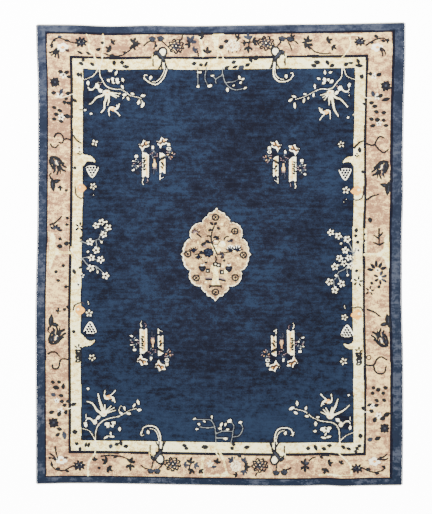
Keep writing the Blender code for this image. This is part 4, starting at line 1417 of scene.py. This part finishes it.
streak = at.math("ADD", noise_at((4.5, 62, 1), 1.0, 3.0, 3.1), noise_at((8, 27, 1), 1.0, 2.0, 7.7))
patch = at.math("ADD", noise_at((1, 1.4, 1), 6.5, 3.0, 21.7), noise_at((1, 1, 1), 1.7, 2.0, 11.3))
tuft = noise_at((1, 1, 1), 95.0, 2.0, 5.2, 0.65)
mottle = at.math("ADD", tuft, noise_at((1, 1.3, 1), 27.0, 2.0, 14.6))
fine = noise_at((1, 1, 1), 420.0, 2.0, 1.4, 0.7)
tone = at.math("MULTIPLY", streak, given["Streaks"])
tone = at.math("ADD", tone, at.math("MULTIPLY", patch, given["Drift"]))
tone = at.math("ADD", tone, at.math("MULTIPLY", mottle, given["Grain"]))
tone = at.math("ADD", tone, at.math("MULTIPLY", fine, at.math("MULTIPLY", given["Grain"], 0.6)))
lighter = at.math("MULTIPLY", tone, 2.0, clamp=True)
darker = at.math("MULTIPLY", tone, -2.0, clamp=True)
parts = at.add("ShaderNodeSeparateXYZ", {0: where})
from_middle = at.math("ADD", at.math("POWER", at.math("MULTIPLY", parts.outputs[0], 1.1), 2.0),
                      at.math("POWER", at.math("MULTIPLY", parts.outputs[1], 0.85), 2.0))
near_middle = at.math("SUBTRACT", 1.25, at.math("SUBTRACT", from_middle, patch), clamp=True)
# towards the foot each yarn takes its foot colour: the paler indigo and ivory there are painted light falling
# on the foot end, leaving painted shade towards the head
foot_dye_and_light_share = at.math("SUBTRACT", 0.5, at.math("MULTIPLY", parts.outputs[1], 0.3), clamp=True)
dyed_and_lit = at.add("ShaderNodeMix", {0: foot_dye_and_light_share, 6: given["Colour"], 7: given["Foot Dye and Painted Light"]}, data_type="RGBA")
dyed_and_lit = at.add("ShaderNodeMix", {0: near_middle, 6: dyed_and_lit.outputs[2], 7: given["Middle Tone"]},
              data_type="RGBA")
mixed = at.add("ShaderNodeMix", {0: lighter, 6: dyed_and_lit.outputs[2], 7: given["Light Dye"]}, data_type="RGBA")
mixed = at.add("ShaderNodeMix", {0: darker, 6: mixed.outputs[2], 7: given["Dark Dye"]}, data_type="RGBA")
knot_x = at.math("SINE", at.math("MULTIPLY", parts.outputs[0], math.tau / (SQUARE / 2)))
knot_y = at.math("SINE", at.math("MULTIPLY", parts.outputs[1], math.tau / (SQUARE / 2)))
height = at.math("ADD", at.math("MULTIPLY", knot_x, 0.10), at.math("MULTIPLY", knot_y, 0.16))
height = at.math("ADD", height, at.math("MULTIPLY", tuft, 0.9))
height = at.math("ADD", height, at.math("MULTIPLY", fine, 0.9))
bump = at.add("ShaderNodeBump", {"Height": height, "Distance": 0.0015, "Strength": 0.7})
at.tree.links.new(mixed.outputs[2], out["Colour"])
at.tree.links.new(bump.outputs[0], out["Normal"])

DYES = {  # the dye's colour, then where it took more and less, and streaks, drift and grain
    "indigo": ((22, 28, 43), (29, 41, 60), (15, 16, 26), 1.0, 1.3, 1.5),
    "band": ((43, 49, 64), (64, 69, 81), (27, 33, 47), 0.9, 2.4, 1.8),
    "stripe": ((22, 21, 28), (30, 30, 38), (16, 16, 21), 0.6, 0.5, 0.8),
    "rose": ((184, 144, 105), (238, 205, 136), (144, 107, 80), 0.7, 2.1, 3.2),
    "ivory": ((251, 233, 150), (255, 247, 196), (206, 174, 104), 0.9, 1.3, 3.6),
    "sand": ((162, 128, 92), (214, 182, 120), (126, 96, 70), 0.5, 1.3, 3.8),
    "cream": ((249, 240, 198), (254, 250, 228), (214, 202, 160), 0.6, 1.0, 1.6),
    "white": ((253, 249, 222), (255, 254, 238), (232, 220, 182), 0.4, 0.6, 1.2),
    "navy": ((23, 23, 30), (34, 35, 45), (16, 16, 21), 0.6, 0.6, 0.9),
    "slate": ((46, 49, 58), (64, 68, 79), (33, 34, 43), 0.6, 0.6, 0.9),
    "apricot": ((234, 168, 78), (243, 194, 116), (190, 128, 58), 0.6, 0.8, 1.0),
    "mauve": ((118, 98, 98), (146, 128, 122), (86, 70, 74), 0.6, 0.6, 0.8),
    "brown": ((53, 42, 39), (71, 58, 53), (38, 29, 28), 0.6, 0.6, 0.9),
    "olive": ((30, 30, 32), (42, 42, 45), (20, 20, 23), 0.6, 0.6, 0.9),
    "ash": ((112, 117, 116), (142, 146, 138), (82, 86, 90), 0.6, 0.6, 0.9),
    "deep": ((17, 18, 29), (25, 29, 42), (11, 12, 19), 0.8, 0.5, 0.8),
}
MIDDLE_TONES = {"indigo": (22, 25, 38)}  # a darker, greyer indigo about the middle
# the colours the tips take towards the foot: paler for indigo and ivory, as painted light on that end, and
# darker for the band
FOOT_DYES_AND_PAINTED_LIGHT = {"indigo": (24, 35, 53), "band": (18, 29, 45), "ivory": (255, 250, 180)}


def wool(name):
    dye, light, dark, streaks, drift_share, grain = DYES[name]
    material, at, skin = new_material("wool_" + name, {
        "Roughness": 0.95, "Specular IOR Level": 0.05, "Sheen Weight": 0.02, "Sheen Roughness": 0.6})
    tips = at.add("ShaderNodeGroup", {
        "Colour": colour(*dye), "Light Dye": colour(*light), "Dark Dye": colour(*dark),
        "Foot Dye and Painted Light": colour(*FOOT_DYES_AND_PAINTED_LIGHT.get(name, dye)), "Middle Tone": colour(*MIDDLE_TONES.get(name, dye)),
        "Streaks": streaks, "Drift": drift_share, "Grain": grain}, node_tree=pile_group)
    at.tree.links.new(tips.outputs["Colour"], skin["Base Color"])
    at.tree.links.new(tips.outputs["Normal"], skin["Normal"])
    return material


# dark tips lean out over paler wool, half a knot all round: one knot on two of the four sides
dark = np.isin(chart, (INDIGO, BAND, STRIPE, NAVY, SLATE, BROWN, DEEP, OLIVE))
for beside, here in ((np.s_[1:], np.s_[:-1]), (np.s_[:, 1:], np.s_[:, :-1])):
    leans = dark[beside] & ~dark[here]
    chart[here][leans] = chart[beside][leans]

# where two knots of one yarn touch only at a corner, a third joins them
for step in range(JOIN_ROUNDS):
    a, b, c, d = chart[:-1, :-1], chart[:-1, 1:], chart[1:, :-1], chart[1:, 1:]
    lonely = (a == d) & (b != a) & (c != a)
    b[lonely] = a[lonely]
    lonely = (b == c) & (a != b) & (d != b)
    a[lonely] = b[lonely]

# the lines between yarns, on the grid of the knots' corners
edged = np.pad(chart, 1, constant_values=-1)
row_line = np.pad(edged[1:, 1:-1] != edged[:-1, 1:-1], ((0, 0), (1, 1)))
column_line = np.pad(edged[1:-1, 1:] != edged[1:-1, :-1], ((1, 1), (0, 0)))
to_left, to_right = row_line[:, :-1], row_line[:, 1:]
to_foot, to_head = column_line[:-1], column_line[1:]
met = to_left | to_right | to_foot | to_head
row_number, column_number = np.indices(met.shape)
straight_across = to_left & to_right & ~to_foot & ~to_head
straight_up = to_foot & to_head & ~to_left & ~to_right
dropped = (straight_across & (column_number % GRID_STEP != 0)) | (straight_up & (row_number % GRID_STEP != 0))
rim_knot = np.minimum(
    np.minimum(row_number, KNOTS_ALONG - row_number), np.minimum(column_number,
                                                                 KNOTS_ACROSS - column_number)
) == 0
dropped &= ~(rim_knot & ((row_number + column_number) % RIM_STEP == 0))
kept = met & ~dropped
number = np.full(met.shape, -1)
number[kept] = np.arange(kept.sum())
corner_rows, corner_columns = np.nonzero(kept)
corners = np.column_stack([corner_columns, corner_rows]).astype(float)

lines = []
same = corner_rows[1:] == corner_rows[:-1]
runs = same & to_right[corner_rows[:-1], corner_columns[:-1]]
first = np.nonzero(runs)[0]
lines += list(zip(first.tolist(), (first + 1).tolist()))
by_column = np.lexsort((corner_rows, corner_columns))
same = corner_columns[by_column][1:] == corner_columns[by_column][:-1]
runs = same & to_head[corner_rows[by_column][:-1], corner_columns[by_column][:-1]]
first = np.nonzero(runs)[0]
lines += list(zip(by_column[first].tolist(), by_column[first + 1].tolist()))

# more points where a yarn spreads wide, and beside the rim, where the tips fall away
busy = np.pad(met, CLEAR)
around = range(2 * CLEAR + 1)
busy = sum(busy[j:j + met.shape[0], i:i + met.shape[1]] for j in around for i in around) > 0
mid_rows = np.arange(GRID_STEP // 2, KNOTS_ALONG, GRID_STEP)
mid_columns = np.arange(GRID_STEP // 2, KNOTS_ACROSS, GRID_STEP)
spare = [(i, j) for j in mid_rows for i in mid_columns if not busy[j, i]]
for inset in (0.9, 2.2):
    for k in np.arange(RIM_STEP, KNOTS_ALONG - RIM_STEP + 1, RIM_STEP):
        spare += [(inset, k), (KNOTS_ACROSS - inset, k)]
    for k in np.arange(RIM_STEP, KNOTS_ACROSS - RIM_STEP + 1, RIM_STEP):
        spare += [(k, inset), (k, KNOTS_ALONG - inset)]
grid_points = np.vstack([corners, np.array(spare, dtype=float)])
flat = delaunay_2d_cdt([tuple(p) for p in grid_points], lines, [], 0, 1e-5)
grid_points = np.array([tuple(p) for p in flat[0]])
triangles = np.array([tuple(t) for t in flat[2]])
middles = grid_points[triangles].mean(axis=1)
yarn_of = chart[
    np.clip(middles[:, 1].astype(int), 0, KNOTS_ALONG - 1), np.clip(middles[:, 0].astype(int), 0,
                                                                    KNOTS_ACROSS - 1)
]

# each point's place on the carpet, and how high the tips stand there
pile_x, pile_y = lay(grid_points[:, 0] / KNOTS_ACROSS, grid_points[:, 1] / KNOTS_ALONG)
from_rim = np.minimum(
    np.minimum(grid_points[:, 0], KNOTS_ACROSS - grid_points[:, 0]),
    np.minimum(grid_points[:, 1], KNOTS_ALONG - grid_points[:, 1]),
)
waves = np.array([
    noise.noise((x * WAVES_A_METRE, y * WAVES_A_METRE, 4.0)) for x, y in zip(pile_x, pile_y)])
pile_z = PILE_HEIGHT - RIM_DROP * np.exp(-((from_rim / RIM_REACH) ** 2)) + WAVE * (waves - 0.5)
low_x, low_y = pile_x.min(), pile_y.min()
span_x, span_y = np.ptp(pile_x), np.ptp(pile_y)
map_u = TOP_SHARE * (pile_x - low_x) / span_x
map_v = (pile_y - low_y) / span_y
count = len(grid_points)

for k, name in enumerate(YARNS):
    tops = triangles[yarn_of == k]
    pairs = np.vstack([tops[:, [0, 1]], tops[:, [1, 2]], tops[:, [2, 0]]])
    keys = pairs[:, 0] * count + pairs[:, 1]
    open_edge = ~np.isin(keys, pairs[:, 1] * count + pairs[:, 0])
    walls = pairs[open_edge]
    used, index = np.unique(tops, return_inverse=True)
    place_of = np.full(count, -1)
    place_of[used] = np.arange(len(used))
    points = np.vstack([
        np.column_stack([pile_x[used], pile_y[used], pile_z[used]]),
        np.column_stack([pile_x[used], pile_y[used], np.zeros(len(used))]),
    ])
    tops = place_of[tops]
    walls = place_of[walls]
    lows = tops[:, ::-1] + len(used)
    sides = np.column_stack([walls[:, 0] + len(used), walls[:, 1] + len(used), walls[:, 1], walls[:, 0]])
    loops = np.concatenate([tops.ravel(), lows.ravel(), sides.ravel()])
    sizes = np.concatenate([np.full(len(tops) + len(lows), 3), np.full(len(sides), 4)])
    mesh = bpy.data.meshes.new("pile_" + name)
    mesh.vertices.add(len(points))
    mesh.vertices.foreach_set("co", points.astype(np.float32).ravel())
    mesh.loops.add(len(loops))
    mesh.loops.foreach_set("vertex_index", loops.astype(np.int32))
    mesh.polygons.add(len(sizes))
    mesh.polygons.foreach_set("loop_start", np.concatenate([[0], np.cumsum(sizes)[:-1]]).astype(np.int32))
    mesh.update(calc_edges=True)
    u = np.concatenate([map_u[used], map_u[used]])
    v = np.concatenate([map_v[used], map_v[used]])
    uv = np.column_stack([u[loops], v[loops]])
    low_part = slice(3 * len(tops), 6 * len(tops))
    uv[low_part, 0] = TOP_SHARE + MAP_GAP + uv[low_part, 0] * BACK_SHARE / TOP_SHARE
    side_part = slice(6 * len(tops), None)
    side_height = np.tile([0.0, 0.0, SIDE_SHARE, SIDE_SHARE], len(sides))
    uv[side_part, 0] = TOP_SHARE + BACK_SHARE + 2 * MAP_GAP + side_height
    layer = mesh.uv_layers.new(name="OFBake")
    layer.data.foreach_set("uv", uv.astype(np.float32).ravel())
    mesh.materials.append(wool(name))
    mesh.polygons.foreach_set("use_smooth", np.ones(len(sizes), dtype=bool))
    mesh.set_sharp_from_angle(angle=CREASE)
    mesh.validate()
    piece = bpy.data.objects.new("pile_" + name, mesh)
    bpy.context.scene.collection.objects.link(piece)
    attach(piece, "root")
    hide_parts("pile_carpet")


# The side cords
# The outer warps are bundled and overcast with dark blue wool, turn by turn, which
# makes one round cord along each side.
CORD_RADIUS = 0.0045
YARN_RADIUS = 0.0013
CORE_RADIUS = 0.0030
TURNS = 1075
CORD_GAP = 0.0003
CORD_STEPS = 88  # straight lengths of its path


def cord_tools():
    """Geometry nodes that wind a yarn round a core that follows a path."""
    group, at, given, out = new_group(
        "overcast_cord", "GeometryNodeTree",
        {
            "Path": ("NodeSocketGeometry", None),
            "Turns": ("NodeSocketInt", TURNS),
            "Steps a Turn": ("NodeSocketInt", 8),
            "Winding Radius": ("NodeSocketFloat", CORD_RADIUS - YARN_RADIUS),
            "Yarn Radius": ("NodeSocketFloat", YARN_RADIUS),
            "Core Radius": ("NodeSocketFloat", CORE_RADIUS),
            "Wool": ("NodeSocketMaterial", None),
        },
        {"Geometry": "NodeSocketGeometry"},
    )
    path = at.add("GeometryNodeMeshToCurve", {"Mesh": given["Path"]}).outputs[0]
    core_ring = at.add("GeometryNodeCurvePrimitiveCircle", {"Resolution": 8,
                                                            "Radius": given["Core Radius"]})
    core = at.add("GeometryNodeCurveToMesh", {"Curve": path, "Profile Curve": core_ring.outputs[0],
                                              "Fill Caps": True})
    steps = at.math("MULTIPLY", given["Turns"], given["Steps a Turn"])
    fine_path = at.add("GeometryNodeResampleCurve", {"Curve": path, "Count": at.math("ADD", steps, 1.0)})
    share = at.add("GeometryNodeSplineParameter").outputs["Factor"]
    angle = at.math("MULTIPLY", share, at.math("MULTIPLY", given["Turns"], math.tau))
    reach = given["Winding Radius"]
    offset = at.add("ShaderNodeCombineXYZ", {
        0: at.math("MULTIPLY", at.math("COSINE", angle), reach),
        2: at.math("MULTIPLY", at.math("SINE", angle), reach),
    })
    wound = at.add("GeometryNodeSetPosition", {"Geometry": fine_path.outputs[0],
                                               "Offset": offset.outputs[0]})
    yarn_ring = at.add("GeometryNodeCurvePrimitiveCircle", {"Resolution": 4,
                                                            "Radius": given["Yarn Radius"]})
    yarn = at.add("GeometryNodeCurveToMesh", {
        "Curve": wound.outputs[0], "Profile Curve": yarn_ring.outputs[0], "Fill Caps": True})
    both = at.add("GeometryNodeJoinGeometry")
    for part in (core, yarn):
        at.tree.links.new(part.outputs[0], both.inputs[0])
    whole = at.add("GeometryNodeRealizeInstances", {0: both.outputs[0]})
    dressed = at.add("GeometryNodeSetMaterial", {"Geometry": whole.outputs[0], "Material": given["Wool"]})
    at.tree.links.new(dressed.outputs[0], out["Geometry"])
    return group


def made_with(group, name, points, edges, **inputs):
    """A plain mesh that a geometry node group makes from points and edges."""
    mesh = bpy.data.meshes.new(name + "_path")
    mesh.from_pydata(points, edges, [])
    guide = bpy.data.objects.new(name + "_path", mesh)
    bpy.context.scene.collection.objects.link(guide)
    modifier = guide.modifiers.new(name, "NODES")
    modifier.node_group = group
    sockets = {item.name: item.identifier for item in group.interface.items_tree if item.in_out == "INPUT"}
    for socket, value in inputs.items():
        modifier[sockets[socket.replace("_", " ")]] = value
    guide.update_tag()
    graph = bpy.context.evaluated_depsgraph_get()
    made = bpy.data.meshes.new_from_object(guide.evaluated_get(graph), depsgraph=graph)
    made.name = name
    bpy.data.objects.remove(guide, do_unlink=True)
    piece = bpy.data.objects.new(name, made)
    bpy.context.scene.collection.objects.link(piece)
    return piece


def overcast_wool():
    """Dark blue wool, a little paler than the band beside it."""
    material, at, skin = new_material(
        "overcast_wool", {"Roughness": 0.9, "Specular IOR Level": 0.1, "Sheen Weight": 0.04})
    dye = colour(53, 60, 73)
    yarn = at.add("ShaderNodeGroup", {
        "Colour": dye, "Middle Tone": dye, "Foot Dye and Painted Light": dye, "Light Dye": colour(79, 86, 95),
        "Dark Dye": colour(38, 45, 58), "Drift": 1.0, "Grain": 0.6}, node_tree=pile_group)
    at.tree.links.new(yarn.outputs["Colour"], skin["Base Color"])
    return material


cord_group = cord_tools()
cord_wool = overcast_wool()
cord_places = np.linspace(0, 1, CORD_STEPS + 1)
for name, across, outward in (("side_cord_left", 0.0, -1), ("side_cord_right", 1.0, 1)):
    xs, ys = lay(across, cord_places)
    path = [(float(x + outward * (CORD_GAP + CORD_RADIUS)), float(y), CORD_RADIUS) for x, y in zip(xs, ys)]
    cord = made_with(
        cord_group, name + "_yarn", path, [(i, i + 1) for i in range(len(path) - 1)],
        Turns=TURNS, Winding_Radius=CORD_RADIUS - YARN_RADIUS, Yarn_Radius=YARN_RADIUS,
        Core_Radius=CORE_RADIUS, Wool=cord_wool,
    )
    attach(cord, "root")
    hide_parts(name)


# The fringe
# Past each web the cut cotton warps stick out as very short ends, laid on the floor
# and bent a little, each its own way.
WARP_ENDS = 548
WARP_RADIUS = 0.0006
ROOT_HEIGHT = 0.0011


def fringe_tools():
    """Geometry nodes that put a short bent thread at every point, pointing outwards."""
    group, at, given, out = new_group(
        "warp_ends", "GeometryNodeTree",
        {
            "Roots": ("NodeSocketGeometry", None),
            "Outward": ("NodeSocketFloat", 1.0),
            "Shortest": ("NodeSocketFloat", 0.008),
            "Longest": ("NodeSocketFloat", 0.014),
            "Thread Radius": ("NodeSocketFloat", WARP_RADIUS),
            "Bend": ("NodeSocketFloat", 0.004),
            "Seed": ("NodeSocketInt", 5),
            "Cotton": ("NodeSocketMaterial", None),
        },
        {"Geometry": "NodeSocketGeometry"},
    )
    thread = at.add("GeometryNodeCurvePrimitiveLine", {"Start": (0, 0, 0), "End": (0, 1, 0)})
    thread = at.add("GeometryNodeResampleCurve", {"Curve": thread.outputs[0], "Count": 6})
    lean = at.add("FunctionNodeRandomValue", {2: -0.5, 3: 0.5, "Seed": given["Seed"]}, data_type="FLOAT")
    turn = at.add("ShaderNodeCombineXYZ", {2: lean.outputs[1]})
    reach = at.add("FunctionNodeRandomValue", {
        2: given["Shortest"], 3: given["Longest"], "Seed": at.math("ADD", given["Seed"], 1.0)},
        data_type="FLOAT")
    length = at.math("MULTIPLY", reach.outputs[1], given["Outward"])
    size = at.add("ShaderNodeCombineXYZ", {0: 1.0, 1: length, 2: 1.0})
    threads = at.add("GeometryNodeInstanceOnPoints", {
        "Points": given["Roots"], "Instance": thread.outputs[0],
        "Rotation": turn.outputs[0], "Scale": size.outputs[0]})
    threads = at.add("GeometryNodeRealizeInstances", {0: threads.outputs[0]})
    place_now = at.add("GeometryNodeInputPosition").outputs[0]
    sway = at.add("ShaderNodeTexNoise", {"Vector": place_now, "Scale": 160.0, "Detail": 1.0})
    sway = at.add("ShaderNodeVectorMath", {0: sway.outputs[1], 1: (0.5, 0.5, 0.5)}, operation="SUBTRACT")
    share = at.add("GeometryNodeSplineParameter").outputs["Factor"]
    much = at.math("MULTIPLY", share, given["Bend"])
    sway = at.add("ShaderNodeVectorMath", {0: sway.outputs[0], 3: much}, operation="SCALE")
    level = at.add("ShaderNodeVectorMath", {0: sway.outputs[0], 1: (1.0, 0.4, 0.15)}, operation="MULTIPLY")
    threads = at.add("GeometryNodeSetPosition", {"Geometry": threads.outputs[0],
                                                 "Offset": level.outputs[0]})
    ring = at.add("GeometryNodeCurvePrimitiveCircle", {"Resolution": 5, "Radius": given["Thread Radius"]})
    threads = at.add("GeometryNodeCurveToMesh", {
        "Curve": threads.outputs[0], "Profile Curve": ring.outputs[0], "Fill Caps": True})
    threads = at.add("GeometryNodeRealizeInstances", {0: threads.outputs[0]})
    dressed = at.add("GeometryNodeSetMaterial", {"Geometry": threads.outputs[0],
                                                 "Material": given["Cotton"]})
    at.tree.links.new(dressed.outputs[0], out["Geometry"])
    return group


fringe_group = fringe_tools()
warp_cotton = cotton("warp_cotton", colour(240, 238, 230), 0.0008)
for name, along, outward, seed in (("fringe_head", 1.0, 1, 11), ("fringe_foot", 0.0, -1, 23)):
    shares = (np.arange(WARP_ENDS) + 0.5) / WARP_ENDS
    xs, ys = lay(shares, along)
    roots = [(float(x), float(y + outward * (WEB_WIDTH - WARP_RADIUS)), ROOT_HEIGHT) for x,
             y in zip(xs, ys)]
    fringe = made_with(
        fringe_group, name, roots, [], Outward=float(outward), Shortest=0.0085, Longest=0.0142,
        Thread_Radius=WARP_RADIUS, Bend=0.004, Seed=seed, Cotton=warp_cotton,
    )
    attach(fringe, "root")
    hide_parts("end_web_head" if outward > 0 else "end_web_foot")
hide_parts("end_web_head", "end_web_foot")


# The floor, the light and the camera
# The carpet lies on a plain pale floor under soft even light, seen from straight above.
FLOOR_HALF = 30.0
FLOOR_DROP = 0.0005  # how far it lies below the carpet's back
floor_material, at, skin = new_material("pale_floor", {
    "Base Color": (0.9, 0.9, 0.9, 1), "Roughness": 0.9, "Specular IOR Level": 0.0,
    "Emission Color": (1, 1, 1, 1), "Emission Strength": 10.5})
floor = solid_from(
    "floor", [(x * FLOOR_HALF, y * FLOOR_HALF, -FLOOR_DROP) for x, y in ((-1, -1), (1, -1), (1, 1),
                                                                         (-1, 1))],
    [(0, 1, 2, 3)], floor_material,
)

world = bpy.data.worlds.new("even_light")
world.use_nodes = True
background = world.node_tree.nodes["Background"].inputs
background["Color"].default_value = (1, 1, 1, 1)
background["Strength"].default_value = 2.1
bpy.context.scene.world = world
lamp = bpy.data.lights.new("soft_box", "AREA")
lamp.shape = "RECTANGLE"
lamp.size, lamp.size_y = 5.0, 3.0
lamp.energy = 670
soft_box = bpy.data.objects.new("soft_box", lamp)
soft_box.location = (-1.2, 3.2, 4.6)
soft_box.rotation_euler = (math.radians(-35), math.radians(-14), 0)
bpy.context.scene.collection.objects.link(soft_box)

LENS = 85.0
SENSOR = 36.0
FRAME_HEIGHT = 514 * SQUARE
FRAME_MIDDLE = (-4, -2)  # squares from the middle of the drawing
camera_data = bpy.data.cameras.new("camera")
camera_data.lens = LENS
camera_data.sensor_width = SENSOR
camera_data.clip_end = 60.0
camera = bpy.data.objects.new("camera", camera_data)
camera.location = (
    (FRAME_MIDDLE[0] + DRAWN_RIGHT) * SQUARE, FRAME_MIDDLE[1] * SQUARE,
    PILE_HEIGHT + FRAME_HEIGHT * LENS / SENSOR,
)
bpy.context.scene.collection.objects.link(camera)
bpy.context.scene.camera = camera
